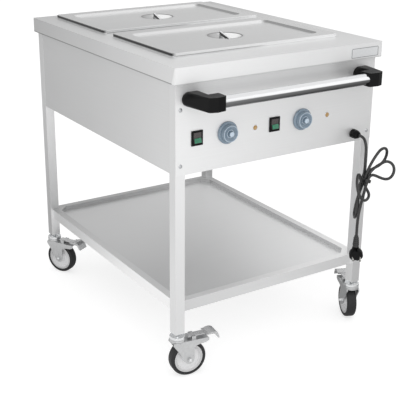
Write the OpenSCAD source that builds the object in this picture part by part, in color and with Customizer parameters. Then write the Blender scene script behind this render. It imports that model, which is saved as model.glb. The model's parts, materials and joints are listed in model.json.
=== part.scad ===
// Heated hostess trolley: a stainless bain-marie body for two full-size food pans on four
// square legs, with a lower shelf, a push handle and four swivel castors.
// +X runs to the right along the control side, +Y to the back, +Z up; z = 0 is the floor.

/* [Overall] */
// Height over the closed lids
height = 850; // [820:5:900]
// Width of the top plate, along the control side
plate_w = 650; // [630:5:720]
// Depth of the top plate, without the handle
plate_d = 840; // [820:5:960]

/* [Top plate] */
// Sheet thickness of the top plate
plate_t = 1.5; // [1:0.5:2]
// Height of the folded skirt
skirt_h = 42; // [32:1:60]
// Width of the lip folded in under the skirt
skirt_lip = 5; // [3:1:5]
// Overhang of the plate past the legs at the sides
side_overhang = 9; // [8:1:14]
// Overhang of the plate past the control panel
front_overhang = 13; // [10:1:18]
// Overhang of the plate past the back legs
back_overhang = 11; // [10:1:18]
// Plate between its front edge and the first pan
front_margin = 110; // [100:5:130]
// Plate between the two pans
pan_gap = 45; // [30:5:55]

/* [Legs and panels] */
// Side of the square leg tube
leg_w = 28; // [24:1:32]
// Wall of the leg tube
leg_wall = 1.5; // [1:0.5:2]
// Sheet thickness of the body panels
panel_t = 1.5; // [1:0.5:2]
// Height of the heated body, from its underside to the top of the plate
body_h = 273; // [265:1:300]
// Width of the flanges folded in along the panels
panel_flange = 16; // [12:1:20]
// Step from the leg's face back to the side panel's face
panel_step = 0.8; // [0.5:0.1:1.5]
// Diameter of the control panel's fixing screws
screw_d = 4; // [3:0.5:5]
// Head diameter of those screws
screw_head_d = 9; // [7:0.5:10]
// Distance of the screws from the plate's side edges
screw_inset = 23; // [22:1:28]
// Depth of the upper screws below the plate
screw_drop_top = 107; // [80:1:115]
// Depth of the lower screws below the plate
screw_drop_low = 249; // [235:1:252]

/* [Lower shelf] */
// Height of the shelf's rim above the floor
shelf_top = 219; // [200:1:260]
// Height of the shelf's outer apron
shelf_apron = 30; // [25:1:40]
// Depth of the tray below the rim
shelf_depth = 13; // [10:1:23]
// Width of the flat rim
shelf_rim = 20; // [12:1:24]
// Step from the leg's outer face in to the apron
shelf_inset = 6; // [3:1:9]
// Sheet thickness of the shelf
shelf_t = 1.2; // [1:0.1:2]
// Size of the slanted corners of the tray
shelf_corner = 25; // [22:1:35]

/* [Pans and lids] */
// Length of a full-size pan's flange
pan_l = 530; // [525:1:535]
// Width of a full-size pan's flange
pan_w = 325; // [320:1:330]
// Width of the pan's flange that lies on the plate
pan_flange = 15; // [13:1:17]
// Sheet thickness of the pan
pan_t = 1; // [0.8:0.1:1.5]
// Depth of the pan
pan_depth = 150; // [100:5:155]
// Corner radius of the pan
pan_r = 32; // [25:1:40]
// Space between the pan and the rim of the well
well_clear = 5; // [3:0.5:7]
// Depth of the well below the plate
well_depth = 178; // [172:1:190]
// Sheet thickness of the well
well_t = 1.2; // [1:0.1:1.5]
// Width of the well's flange under the plate
well_flange = 12; // [8:1:14]
// Height of the lid's rim
lid_h = 8; // [7:0.5:10]
// Sheet thickness of the lid
lid_t = 1.2; // [0.8:0.1:1.5]
// Corner radius of the lid
lid_r = 12; // [10:1:20]
// Width of the lid's raised border
lid_border = 36; // [30:1:50]
// Width of the slope down to the sunk panel
lid_bevel = 8; // [5:1:12]
// Depth of the sunk panel
lid_sink = 5.5; // [4:0.5:6]
// Diameter of the finger dish
dish_d = 95; // [85:1:110]
// Depth of the finger dish below the sunk panel
dish_depth = 16; // [12:1:20]
// Width of the grip bar across the dish
bar_w = 6; // [5:0.5:10]
// Height of the bar above the sunk panel
bar_t = 2; // [1.5:0.5:4]
// Depth of the bar's web below the sunk panel
bar_web = 6; // [4:0.5:7]
// Length of the bar past the edge of the dish
bar_foot = 5; // [4:1:8]
// Angle of the bar, away from the front-to-back line
bar_turn = 20; // [0:5:90]

/* [Push handle] */
// Reach of the handle beyond the plate's front edge
handle_reach = 73; // [68:1:90]
// Diameter of the handle tube
tube_d = 30; // [26:1:31]
// Wall of the handle tube
tube_wall = 1.5; // [1:0.5:2.5]
// Depth of the handle's axis below the plate
handle_drop = 82; // [75:1:95]
// Height of the moulded end brackets
bracket_h = 36; // [34:1:42]
// Distance from the plate's side edge to the bracket's foot
bracket_inset = 27; // [22:1:32]
// Width of the bracket's foot on the panel
bracket_foot = 58; // [50:1:66]
// Distance from the plate's side edge to the bracket's inner end
bracket_end = 101; // [92:1:112]
// Depth of the bracket's tube socket, front to back
bracket_socket = 40; // [38:1:46]
// Depth to which the tube enters the bracket
tube_entry = 15; // [10:1:20]
// Diameter of the bracket screws
bolt_d = 5; // [4:1:6]

/* [Controls] */
// Depth of the controls' centre line below the plate
controls_drop = 183; // [170:1:195]
// Distance from the plate's left edge to the first switch
switch_x = 70; // [60:1:76]
// Distance from a switch to its knob
knob_pitch = 90; // [84:1:96]
// Distance from a switch to its lamp
lamp_pitch = 175; // [165:1:185]
// Distance from the first set of controls to the second
set_pitch = 236; // [225:1:245]
// Width of the switch bezel
switch_w = 32; // [30:1:36]
// Height of the switch bezel
switch_h = 38; // [36:1:42]
// Width of the rocker
rocker_w = 22; // [18:1:22]
// Height of the rocker
rocker_h = 27; // [24:0.5:27.5]
// Angle that the rocker tips through
rocker_throw = 14; // [10:1:14]
// Diameter of the knob's skirt
knob_d = 58; // [54:1:64]
// Diameter of the knob's grip
grip_d = 46; // [42:1:50]
// Length of the knob in front of the panel
knob_len = 17; // [15:1:22]
// Diameter of the knob's centre boss
boss_d = 15; // [12:1:18]
// Diameter of the thermostat's spindle
spindle_d = 6; // [5:0.5:6.5]
// Diameter of the lamp's bezel
lamp_d = 12; // [11:1:14]
// Width of the bare badge plate
badge_w = 94; // [80:1:100]
// Height of the bare badge plate
badge_h = 27; // [20:1:28]
// Distance from the plate's right edge to the badge's centre
badge_x = 60; // [58:1:70]

/* [Castors] */
// Height from the floor to the leg's end
castor_h = 130; // [126:1:136]
// Wheel diameter
wheel_d = 100; // [96:1:100]
// Tread width
tread_w = 28; // [24:1:30]
// Rounding of the tread's shoulders
tread_r = 6; // [3:0.5:8]
// Diameter inside the rubber tread
rim_d = 82; // [74:1:86]
// Distance from the swivel axis to the wheel's axle
trail = 28; // [25:1:30]
// Diameter of the swivel head
head_d = 42; // [40:1:44]
// Thickness of the pressed fork
fork_t = 2.5; // [2:0.5:3]
// Width of the fork over its cheeks
fork_w = 38; // [37:1:40]
// Diameter of the axle bolt
axle_d = 8; // [6:0.5:9]
// Diameter of the swivel pin
kingpin_d = 10; // [8:0.5:11]
// Distance from the swivel axis to the tip of the brake pedal
pedal_reach = 116; // [110:1:122]
// Width of the pedal's moulded end
pedal_w = 36; // [30:1:40]

/* [Power cord] */
// Cord diameter
cord_d = 8; // [7:0.5:8.5]
// Distance from the plate's right edge to the gland
gland_x = 72; // [68:1:80]
// Depth of the gland below the plate
gland_drop = 250; // [240:1:252]
// Length of the gland in front of the panel
gland_len = 25; // [22:1:30]
// Diameter of the gland's nut
gland_d = 25; // [22:1:28]
// Length of the plug's strain relief
relief_len = 32; // [25:1:40]
// Diameter of the plug
plug_d = 38; // [34:1:42]

/* [Hidden] */
$fn = 48;
running_fit = 0.05;
slip = 0.3;
bore_slip = 0.1;
dish_gap = 1;
inch = 25.4;

// Castors at rest: front left, front right, back left, back right; angle of the trail from +X
castor_turns = [-8, 66, -61, 195];

// Reach of a castor from its swivel axis along +X (side = 1) or -X (side = -1)
function wheel_reach(turn, side) =
    side * trail * cos(turn) + (wheel_d / 2 - tread_r) * abs(cos(turn))
    + (tread_w / 2 - tread_r) * abs(sin(turn)) + tread_r;
function tip_reach(turn, side) = side * pedal_reach * cos(turn) + pedal_w / 2 * abs(sin(turn));
function crown_reach(turn, side) = fork_w / 2 * abs(sin(turn)) - side * (head_d / 2 - 3) * cos(turn);
function castor_reach(turn, side) =
    max(wheel_reach(turn, side), tip_reach(turn, side), crown_reach(turn, side));

// The origin is under the middle of the whole trolley, castors at rest and handle included
leg_inset = side_overhang + leg_w / 2;
right_reach = max(0, max([for (i = [1, 3]) castor_reach(castor_turns[i], 1)]) - leg_inset);
left_reach = max(0, max([for (i = [0, 2]) castor_reach(castor_turns[i], -1)]) - leg_inset);
plate_x0 = -plate_w / 2 - (right_reach - left_reach) / 2;
plate_x1 = plate_x0 + plate_w;
plate_y0 = -(plate_d - handle_reach) / 2;
plate_y1 = plate_y0 + plate_d;
plate_z = height - lid_h - pan_t;
under_z = plate_z - plate_t;
body_z = plate_z - body_h;
mid_x = (plate_x0 + plate_x1) / 2;

// Legs and body
panel_y = plate_y0 + front_overhang;
leg_x0 = plate_x0 + side_overhang;
leg_x1 = plate_x1 - side_overhang - leg_w;
leg_y0 = panel_y + panel_t;
leg_y1 = plate_y1 - back_overhang - leg_w;
leg_spots = [[leg_x0, leg_y0], [leg_x1, leg_y0], [leg_x0, leg_y1], [leg_x1, leg_y1]];
screw_spots = [for (x = [plate_x0 + screw_inset, plate_x1 - screw_inset])
    for (drop = [screw_drop_top, screw_drop_low]) [x, plate_z - drop]];
screw_len = 12;
screw_head_t = 2.5;

// Pans, wells and lids
pan_ys = [for (i = [0, 1]) plate_y0 + front_margin + pan_w / 2 + i * (pan_w + pan_gap)];
body_l = pan_l - 2 * pan_flange;
body_w = pan_w - 2 * pan_flange;
well_l = body_l + 2 * well_clear;
well_w = body_w + 2 * well_clear;
pan_bend = 12;
corner_steps = 6;
lid_z = plate_z + pan_t;
lid_floor = height - lid_sink;
well_floor_z = under_z - well_depth;

// Handle
bracket_z = plate_z - handle_drop;
handle_y = plate_y0 - handle_reach;
tube_y = handle_y + bracket_socket / 2;
bracket_depth = panel_y - handle_y;
elbow_x = 62;

// Controls
controls_z = plate_z - controls_drop;
switch_xs = [for (i = [0, 1]) plate_x0 + switch_x + i * set_pitch];
bezel_t = 3;
frame_wall = 2;
window_w = rocker_w + 2 * slip;
window_h = switch_h - 7.5;
frame_depth = 24;
pivot_y = 3;
pivot_d = 3;
rocker_gap = 0.8;
bush_d = 10;
knob_gap = 0.8;
skirt_t = 4;
thermostat_side = 38;
thermostat_depth = 28;
lamp_hole = lamp_d - 2;
lamp_body = 22;
lamp_nut = 4;
gland_spot = [plate_x1 - gland_x, plate_z - gland_drop];
gland_hole = 16;

// Castor heights, from the floor
axle_z = wheel_d / 2;
wheel_gap = 3;
crown_z = wheel_d + wheel_gap;
crown_cut = 5;
crown_end = trail + 1.1 * axle_z;
ring_t = 6;
bearing_gap = 0.5;
cup_t = 8.5;
cup_z = crown_z + fork_t + ring_t + bearing_gap;
collar_t = 2;
hub_w = fork_w - 2 * fork_t - 2 * slip;
nut_t = 6;
pivot_ahead = 14;
pivot_up = 4.5;
pedal_pivot = [trail + pivot_ahead, crown_z + fork_t + pivot_up];
pin_d = 5;
ear_l = 12;
ear_t = 3;
ear_h = 9;
ear_inset = 4;
lever_w = 20;
lever_lift = 2;
lever_len = 38;
lever_tail = 16;
pedal_plate_end = pedal_pivot[0] + lever_len;
cap_len = pedal_reach - pedal_plate_end;
cap_rise = 9.5;
cap_drop = 14;
cap_lip = 5;
stem_plug = 25;
stem_d = 12;
pin_head_t = 3;

// Cord: the route's points are measured from the mouth of the gland
cord_exit = [gland_spot[0], panel_y - gland_len, gland_spot[1]];
lead_route = [[0, 0, 0], [0, -8, 0], [-1, -20, -3], [-3, -30, -12], [-5, -36, -26], [-6, -38, -44],
    [-5, -37, -62], [-2, -34, -80]];
waist = cord_exit + [-1, -38, -117];
waist_tilt = 22;
waist_up = [sin(waist_tilt), 0, cos(waist_tilt)];
waist_side = [cos(waist_tilt), 0, -sin(waist_tilt)];
waist_back = [0, 1, 0];
pass_half = 8;
pass_pitch = cord_d + 1;
// Where each pass crosses the waist, in pitches to the side and to the back
passes = [[-0.5, 1], [0.5, 1], [-0.5, 0], [0.5, 0], [0, -1]];
// Loops in order: length, width, lean to the side, lean to the back, roll of its width
loops = [[113, 46, 15, 5, -127], [105, 51, 23, 0, 15], [62, 83, -35, -30, 180], [90, 49, 49, -7, 165]];
loop_steps = [8, 4, 4, 8];
tail_route = [[-9, -10, -24], [-16, -11, -45], [-22, -11, -68], [-26, -10, -94], [-28, -10, -125],
    [-28, -10, -147], [-28, -10, -155]];
tie_h = 9;
tie_wall = 1.6;
// Plug: turn to the left, tip forwards, drop below the relief, and its two pins
plug_turn = 36;
plug_tip = 110;
plug_drop = 22;
plug_pin_d = 4.8;
plug_pin_len = 19;
plug_pin_pitch = 19;

// ---------------------------------------------------------------- shared shapes

module at_front(x, z) {
    translate([x, panel_y, z]) children();
}

// A round bar along -Y, from the y of its back end to the y of its front end
module peg(d, back, front) {
    translate([0, back, 0]) rotate([90, 0, 0]) cylinder(d = d, h = back - front);
}

module round_rect(l, w, r) {
    square([l - 2 * r, w], center = true);
    square([l, w - 2 * r], center = true);
    for (x = [-1, 1], y = [-1, 1]) translate([x * (l / 2 - r), y * (w / 2 - r)]) circle(r);
}

// One closed outline of a rounded rectangle: [length, width, radius, height]
function outline(ring) = [for (q = [0 : 3], k = [0 : corner_steps])
    let (a = 90 * q + 90 * k / corner_steps,
         sx = (q == 0 || q == 3) ? 1 : -1, sy = q < 2 ? 1 : -1)
    [sx * (ring[0] / 2 - ring[2]) + ring[2] * cos(a),
     sy * (ring[1] / 2 - ring[2]) + ring[2] * sin(a), ring[3]]];

// A solid skinned over outlines, closed flat at both ends
module loft(rings) {
    n = 4 * (corner_steps + 1);
    last = len(rings) - 1;
    points = [for (ring = rings) each outline(ring)];
    sides = [for (i = [0 : last - 1], k = [0 : n - 1]) let (m = (k + 1) % n)
        [i * n + m, (i + 1) * n + m, (i + 1) * n + k, i * n + k]];
    polyhedron(points = points,
        faces = concat([[for (k = [n - 1 : -1 : 0]) k]], sides, [[for (k = [0 : n - 1]) last * n + k]]),
        convexity = 8);
}

function unit(v) = v / norm(v);

// A smooth stretch from a to b that leaves along ta and arrives along tb
function bend(a, ta, b, tb, t) =
    let (pull = 1.12 * norm(b - a))
    (2 * t * t * t - 3 * t * t + 1) * a + (t * t * t - 2 * t * t + t) * pull * ta
    + (3 * t * t - 2 * t * t * t) * b + (t * t * t - t * t) * pull * tb;

// Keys are [point, direction]; steps is the number of rings in each stretch
function follow(keys, steps) = concat([keys[0][0]],
    [for (i = [0 : len(keys) - 2]) for (k = [1 : steps[i]])
        bend(keys[i][0], keys[i][1], keys[i + 1][0], keys[i + 1][1], k / steps[i])]);

// Directions along a list of points, with the first and last given
function with_directions(route, first, last) = [for (i = [0 : len(route) - 1])
    [route[i], i == 0 ? first : i == len(route) - 1 ? last : unit(route[i + 1] - route[i - 1])]];

// A tube of flat-sided rings round a path; across is never along the path
module tube(path, d, n, first, last, across) {
    m = len(path);
    dirs = [for (i = [0 : m - 1]) i == 0 ? first : i == m - 1 ? last : unit(path[i + 1] - path[i - 1])];
    points = [for (i = [0 : m - 1]) let (u = unit(cross(dirs[i], across)), v = cross(dirs[i], u))
        for (k = [0 : n - 1]) path[i] + d / 2 * (cos(360 * k / n) * u + sin(360 * k / n) * v)];
    sides = [for (i = [0 : m - 2], k = [0 : n - 1]) let (j = (k + 1) % n, a = i * n, b = a + n)
        each [[a + k, b + k, b + j], [a + k, b + j, a + j]]];
    polyhedron(points = points,
        faces = concat([[for (k = [0 : n - 1]) k]], sides, [[for (k = [n - 1 : -1 : 0]) (m - 1) * n + k]]),
        convexity = 10);
}

// ---------------------------------------------------------------- top plate and body

module top_plate() color("gainsboro") difference() {
    translate([plate_x0, plate_y0, plate_z - skirt_h]) cube([plate_w, plate_d, skirt_h]);
    translate([plate_x0 + plate_t, plate_y0 + plate_t, plate_z - skirt_h + plate_t])
        cube([plate_w - 2 * plate_t, plate_d - 2 * plate_t, skirt_h - 2 * plate_t]);
    translate([plate_x0 + plate_t + skirt_lip, plate_y0 + plate_t + skirt_lip, plate_z - skirt_h - 1])
        cube([plate_w - 2 * (plate_t + skirt_lip), plate_d - 2 * (plate_t + skirt_lip), plate_t + 2]);
    for (y = pan_ys) translate([mid_x, y, under_z - 1])
        linear_extrude(plate_t + 2) round_rect(well_l, well_w, pan_r);
}

// A folded sheet in the XZ plane: flanges point to +Y, at top, bottom and both ends
module folded_panel(l) {
    h = under_z - body_z;
    cube([l, panel_t, h]);
    for (x = [0, l - panel_t]) translate([x, 0, 0]) cube([panel_t, panel_flange, h]);
    for (z = [0, h - panel_t]) translate([0, 0, z]) cube([l, panel_flange, panel_t]);
}

module side_panel() {
    folded_panel(leg_y1 - leg_y0 - leg_w);
}

module left_panel() color("silver")
    translate([leg_x0 + panel_step, leg_y1, body_z]) rotate([0, 0, -90]) side_panel();

module right_panel() color("silver")
    translate([leg_x1 + leg_w - panel_step, leg_y0 + leg_w, body_z]) rotate([0, 0, 90]) side_panel();

module back_panel() color("silver")
    translate([leg_x1, leg_y1 + leg_w - panel_step, body_z]) rotate([0, 0, 180])
        folded_panel(leg_x1 - leg_x0 - leg_w);

module control_panel() color("gainsboro") difference() {
    union() {
        translate([leg_x0, panel_y, body_z]) cube([leg_x1 + leg_w - leg_x0, panel_t, under_z - body_z]);
        translate([leg_x0 + leg_w, panel_y, body_z]) {
            folded_panel(leg_x1 - leg_x0 - leg_w);
        }
    }
    for (x = switch_xs) {
        at_front(x - window_w / 2 - frame_wall - slip, controls_z - window_h / 2 - frame_wall - slip)
            translate([0, -1, 0])
            cube([window_w + 2 * (frame_wall + slip), panel_t + 2, window_h + 2 * (frame_wall + slip)]);
        at_front(x + knob_pitch, controls_z) peg(bush_d + 2 * slip, panel_t + 1, -1);
        at_front(x + lamp_pitch, controls_z) peg(lamp_hole, panel_t + 1, -1);
    }
    at_front(gland_spot[0], gland_spot[1]) peg(gland_hole, panel_t + 1, -1);
    for (s = screw_spots) at_front(s[0], s[1]) peg(screw_d + 2 * bore_slip, panel_t + 1, -1);
    for (x = bolt_xs, z = bolt_zs) at_front(x, z) peg(bolt_d + 2 * bore_slip, panel_t + 1, -1);
}

// Ventilation slots of the floor
slot_len = 220;
slot_w = 6;
slot_pitch = 60;

module body_floor() color("silver") {
    z = body_z + panel_t;
    x0 = leg_x0 + panel_step + panel_t + slip;
    x1 = leg_x1 + leg_w - panel_step - panel_t - slip;
    y0 = panel_y + panel_t + slip;
    y1 = leg_y1 + leg_w - panel_step - panel_t - slip;
    notch = leg_w + panel_t + slip;
    difference() {
        translate([x0, y0, z]) cube([x1 - x0, y1 - y0, panel_t]);
        for (spot = leg_spots) translate([spot[0] - panel_t - slip, spot[1] - panel_t - slip, z - 1])
            cube([leg_w + 2 * (panel_t + slip), leg_w + 2 * (panel_t + slip), panel_t + 2]);
        for (i = [0 : 5])
            translate([mid_x + (i - 2.5) * slot_pitch - slot_w / 2, (y0 + y1 - slot_len) / 2, z - 1])
            cube([slot_w, slot_len, panel_t + 2]);
    }
}

module leg(i) color("gainsboro") difference() {
    translate([leg_spots[i][0], leg_spots[i][1], castor_h]) difference() {
        cube([leg_w, leg_w, under_z - castor_h]);
        translate([leg_wall, leg_wall, -1])
            cube([leg_w - 2 * leg_wall, leg_w - 2 * leg_wall, under_z - castor_h + 2]);
    }
    if (i < 2) for (s = screw_spots) if (abs(s[0] - leg_spots[i][0]) < leg_w)
        at_front(s[0], s[1]) peg(screw_d + 2 * bore_slip, panel_t + leg_wall + 1, 0);
}

module leg_front_left() leg(0);
module leg_front_right() leg(1);
module leg_back_left() leg(2);
module leg_back_right() leg(3);

module lower_shelf() color("silver") {
    x0 = leg_x0 + shelf_inset;
    y0 = leg_y0 + shelf_inset;
    l = leg_x1 + leg_w - shelf_inset - x0;
    w = leg_y1 + leg_w - shelf_inset - y0;
    tray_l = l - 2 * shelf_rim;
    tray_w = w - 2 * shelf_rim;
    difference() {
        union() {
            translate([x0, y0, shelf_top - shelf_apron]) difference() {
                cube([l, w, shelf_apron]);
                translate([shelf_t, shelf_t, -1])
                    cube([l - 2 * shelf_t, w - 2 * shelf_t, shelf_apron - shelf_t + 1]);
            }
            translate([x0 + shelf_rim, y0 + shelf_rim, shelf_top - shelf_depth - shelf_t])
                linear_extrude(shelf_depth + shelf_t) tray_outline(tray_l, tray_w, 0);
        }
        translate([x0 + shelf_rim, y0 + shelf_rim, shelf_top - shelf_depth])
            linear_extrude(shelf_depth + 1) tray_outline(tray_l, tray_w, shelf_t);
        for (spot = leg_spots) translate([spot[0], spot[1], shelf_top - shelf_apron - 1])
            cube([leg_w, leg_w, shelf_apron + 2]);
    }
}

// The tray seen from above, with its corners cut off in front of the legs
module tray_outline(l, w, inset) {
    c = shelf_corner;
    i = inset;
    polygon([[c + i, i], [l - c - i, i], [l - i, c + i], [l - i, w - c - i], [l - c - i, w - i],
        [c + i, w - i], [i, w - c - i], [i, c + i]]);
}

// ---------------------------------------------------------------- wells, pans and lids

module well(y) color("silver") translate([mid_x, y, 0]) {
    b = pan_bend;
    o = 2 * well_t;
    top = under_z;
    low = well_floor_z;
    loft([
        [well_l - 2 * b, well_w - 2 * b, pan_r - b, low],
        [well_l - 0.6 * b, well_w - 0.6 * b, pan_r - 0.3 * b, low + 0.3 * b],
        [well_l, well_w, pan_r, low + b],
        [well_l, well_w, pan_r, top],
        [well_l + 2 * well_flange, well_w + 2 * well_flange, pan_r + well_flange, top],
        [well_l + 2 * well_flange, well_w + 2 * well_flange, pan_r + well_flange, top - well_t],
        [well_l + o, well_w + o, pan_r + well_t, top - well_t],
        [well_l + o, well_w + o, pan_r + well_t, low + b],
        [well_l + o - 0.6 * b, well_w + o - 0.6 * b, pan_r + well_t - 0.3 * b, low + 0.3 * b - well_t],
        [well_l - 2 * b, well_w - 2 * b, pan_r - b, low - well_t]]);
}

module front_well() well(pan_ys[0]);
module back_well() well(pan_ys[1]);

module pan(y) color("whitesmoke") translate([mid_x, y, 0]) {
    b = pan_bend;
    o = 2 * pan_t;
    il = body_l - o;
    iw = body_w - o;
    top = plate_z + pan_t;
    low = plate_z - pan_depth;
    loft([
        [il - 2 * b, iw - 2 * b, pan_r - b, low + pan_t],
        [il - 0.6 * b, iw - 0.6 * b, pan_r - 0.3 * b, low + pan_t + 0.3 * b],
        [il, iw, pan_r, low + pan_t + b],
        [il, iw, pan_r, top],
        [pan_l, pan_w, lid_r, top],
        [pan_l, pan_w, lid_r, plate_z],
        [body_l, body_w, pan_r, plate_z],
        [body_l, body_w, pan_r, low + b],
        [body_l - 0.6 * b, body_w - 0.6 * b, pan_r - 0.3 * b, low + 0.3 * b],
        [body_l - 2 * b, body_w - 2 * b, pan_r - b, low]]);
}

module front_pan() pan(pan_ys[0]);
module back_pan() pan(pan_ys[1]);

module lid(y) color("whitesmoke") translate([mid_x, y, 0]) {
    t = lid_t;
    b = 2 * lid_border;
    s = 2 * (lid_border + lid_bevel);
    difference() {
        loft([
            [pan_l - s, pan_w - s, lid_r, lid_floor],
            [pan_l - b, pan_w - b, lid_r + lid_bevel, height],
            [pan_l - 2 * t, pan_w - 2 * t, lid_r - t, height],
            [pan_l, pan_w, lid_r, height - t],
            [pan_l, pan_w, lid_r, lid_z],
            [pan_l - 2 * t, pan_w - 2 * t, lid_r - t, lid_z],
            [pan_l - 2 * t, pan_w - 2 * t, lid_r - t, height - t],
            [pan_l - b + 0.6 * t, pan_w - b + 0.6 * t, lid_r + lid_bevel, height - t],
            [pan_l - s + 0.6 * t, pan_w - s + 0.6 * t, lid_r, lid_floor - t]]);
        translate([0, 0, lid_floor - t - 1]) cylinder(d = dish_d + t, h = t + 2);
    }
    dish();
}

// Radius of the sphere that the finger dish is a cap of
function bowl_r() = (dish_d * dish_d / 4 + dish_depth * dish_depth) / (2 * dish_depth);

// The finger dish, a shallow pressed bowl under the bar
module dish() {
    r = dish_d / 2;
    h = dish_depth;
    bowl = bowl_r();
    steps = 8;
    angle = asin(r / bowl);
    inner = [for (k = [0 : steps]) let (a = angle * k / steps)
        [bowl * sin(a), lid_floor - h + bowl * (1 - cos(a))]];
    outer = [for (k = [steps : -1 : 0]) let (a = angle * k / steps)
        [(bowl + lid_t) * sin(a), lid_floor - h + bowl - (bowl + lid_t) * cos(a)]];
    rotate_extrude() intersection() {
        polygon(concat(inner, [[r + lid_t, lid_floor]], outer));
        translate([0, lid_floor - h - 2 * lid_t]) square([r + lid_t, h + 2 * lid_t]);
    }
}

module front_lid() lid(pan_ys[0]);
module back_lid() lid(pan_ys[1]);

// Grip bar: a strip with its ends on the panel, and a web that hangs in the dish
module lid_handle(y) color("silver") translate([mid_x, y, lid_floor]) rotate([0, 0, -bar_turn]) {
    end = dish_d / 2 + bar_foot;
    edge = 0.7;
    bowl = bowl_r();
    top = dish_d / 2 - dish_gap;
    low = sqrt(bowl * bowl - pow(bowl - dish_depth + bar_web, 2)) - dish_gap;
    translate([-bar_w / 2, 0, 0]) rotate([90, 0, 90]) linear_extrude(bar_w)
        polygon([[-end, 0], [-top, 0], [-low, -bar_web], [low, -bar_web], [top, 0], [end, 0],
            [end, bar_t - edge], [end - edge, bar_t], [edge - end, bar_t], [-end, bar_t - edge]]);
}

module front_lid_handle() lid_handle(pan_ys[0]);
module back_lid_handle() lid_handle(pan_ys[1]);

// ---------------------------------------------------------------- heating and wiring

element_d = 8;
element_runs = 4;
element_pitch = 60;
element_len = 380;
strap_w = 16;
strap_ear = 12;

// A flat serpentine rod heater under each well, held by two cross straps
module heating_elements() color("dimgray") for (y = pan_ys)
    translate([mid_x, y, well_floor_z - well_t - element_d / 2 - slip]) {
        for (i = [0 : element_runs - 1]) translate([-element_len / 2, (i - 1.5) * element_pitch, 0])
            rotate([0, 90, 0]) cylinder(d = element_d, h = element_len);
        for (i = [0 : element_runs - 2]) let (side = i % 2 == 0 ? 1 : -1)
            translate([side * element_len / 2, (i - 1) * element_pitch, 0])
                rotate([0, 0, side > 0 ? -90 : 90]) rotate_extrude(angle = 180)
                    translate([element_pitch / 2, 0]) circle(d = element_d);
        for (x = [-1, 1]) translate([x * element_len / 4 - strap_w / 2, 0, -element_d / 2]) {
            translate([0, -2 * element_pitch, -panel_t]) cube([strap_w, 4 * element_pitch, panel_t]);
            for (e = [-2, 2]) translate([0, e * element_pitch - strap_ear / 2, 0])
                cube([strap_w, strap_ear, element_d + slip]);
        }
    }

module thermostats() color("dimgray") for (x = switch_xs) at_front(x + knob_pitch, controls_z) {
    difference() {
        union() {
            translate([-thermostat_side / 2, panel_t, -thermostat_side / 2])
                cube([thermostat_side, thermostat_depth, thermostat_side]);
            peg(bush_d, panel_t, -7);
            peg(bush_d + 7, 0, -3);
        }
        peg(spindle_d + 2 * running_fit, panel_t + thermostat_depth - 5, -8);
    }
}

terminal_l = 50;
terminal_w = 18;
terminal_h = 20;
terminal_pitch = 15;
terminal_hole = 6;
terminal_floor = 8;

module terminal_block() color("beige")
    translate([gland_spot[0], panel_y + panel_flange + 8 + terminal_w / 2, body_z + 2 * panel_t])
        difference() {
            translate([-terminal_l / 2, -terminal_w / 2, 0]) cube([terminal_l, terminal_w, terminal_h]);
            for (i = [-1 : 1]) translate([i * terminal_pitch, 0, terminal_floor])
                cylinder(d = terminal_hole, h = terminal_h);
        }

// ---------------------------------------------------------------- push handle

bolt_xs = [for (x = [plate_x0 + bracket_inset, plate_x1 - bracket_inset])
    x + (x < mid_x ? 1 : -1) * bracket_foot / 2];
bolt_zs = [bracket_z - bracket_h / 4, bracket_z + bracket_h / 4];
bolt_in = 14;

// A rounded corner of the bracket's arm, as high as the bracket
module bracket_post(x, y, r)
    translate([x, y, bracket_z]) cylinder(r = r, h = bracket_h, center = true, $fn = 32);

// The left bracket; its foot has round ends and its arm leans in to the tube's socket
module bracket() {
    h = bracket_h;
    foot_r = h / 2;
    foot_x = plate_x0 + bracket_inset + foot_r;
    end_x = plate_x0 + bracket_end;
    front = handle_y;
    difference() {
        union() {
            hull() {
                for (x = [foot_x, foot_x + bracket_foot - h]) translate([x, panel_y, bracket_z])
                    rotate([90, 0, 0]) cylinder(r = foot_r, h = 6, $fn = 32);
                bracket_post(foot_x + 17, front + 13, 9);
            }
            hull() {
                bracket_post(foot_x + 17, front + 13, 9);
                bracket_post(foot_x + 30, front + 9, 9);
                bracket_post(end_x - 6, front + 9, 6);
                bracket_post(end_x - 3, front + bracket_socket - 3, 3);
                bracket_post(foot_x + 22, front + bracket_socket - 3, 3);
            }
        }
        translate([end_x - tube_entry, tube_y, bracket_z]) rotate([0, 90, 0])
            cylinder(d = tube_d + 2 * bore_slip, h = tube_entry + 1);
        for (z = bolt_zs) at_front(bolt_xs[0], z) peg(bolt_d + 2 * bore_slip, 1, -bolt_in - slip);
    }
}

module left_bracket() color("black") bracket();
module right_bracket() color("black") translate([2 * mid_x, 0, 0]) mirror([1, 0, 0]) bracket();

module handle_tube() color("white")
    translate([plate_x0 + bracket_end - tube_entry, tube_y, bracket_z]) rotate([0, 90, 0]) {
        l = plate_w - 2 * (bracket_end - tube_entry);
        difference() {
            cylinder(d = tube_d, h = l);
            translate([0, 0, -1]) cylinder(d = tube_d - 2 * tube_wall, h = l + 2);
        }
    }

module bracket_screws() color("gray") for (x = bolt_xs, z = bolt_zs) at_front(x, z) {
    peg(bolt_d, panel_t, -bolt_in);
    peg(bolt_d + 4, panel_t + 3.5, panel_t);
}

// ---------------------------------------------------------------- controls

module switch_frame(x) color("black") at_front(x, controls_z) difference() {
    union() {
        translate([-switch_w / 2, -bezel_t, -switch_h / 2]) cube([switch_w, bezel_t, switch_h]);
        translate([-window_w / 2 - frame_wall, 0, -window_h / 2 - frame_wall])
            cube([window_w + 2 * frame_wall, frame_depth, window_h + 2 * frame_wall]);
    }
    translate([-window_w / 2, -bezel_t - 1, -window_h / 2])
        cube([window_w, frame_depth / 2 + bezel_t, window_h]);
    translate([-switch_w, pivot_y, 0]) rotate([0, 90, 0])
        cylinder(d = pivot_d + 2 * running_fit, h = 2 * switch_w);
}

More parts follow.
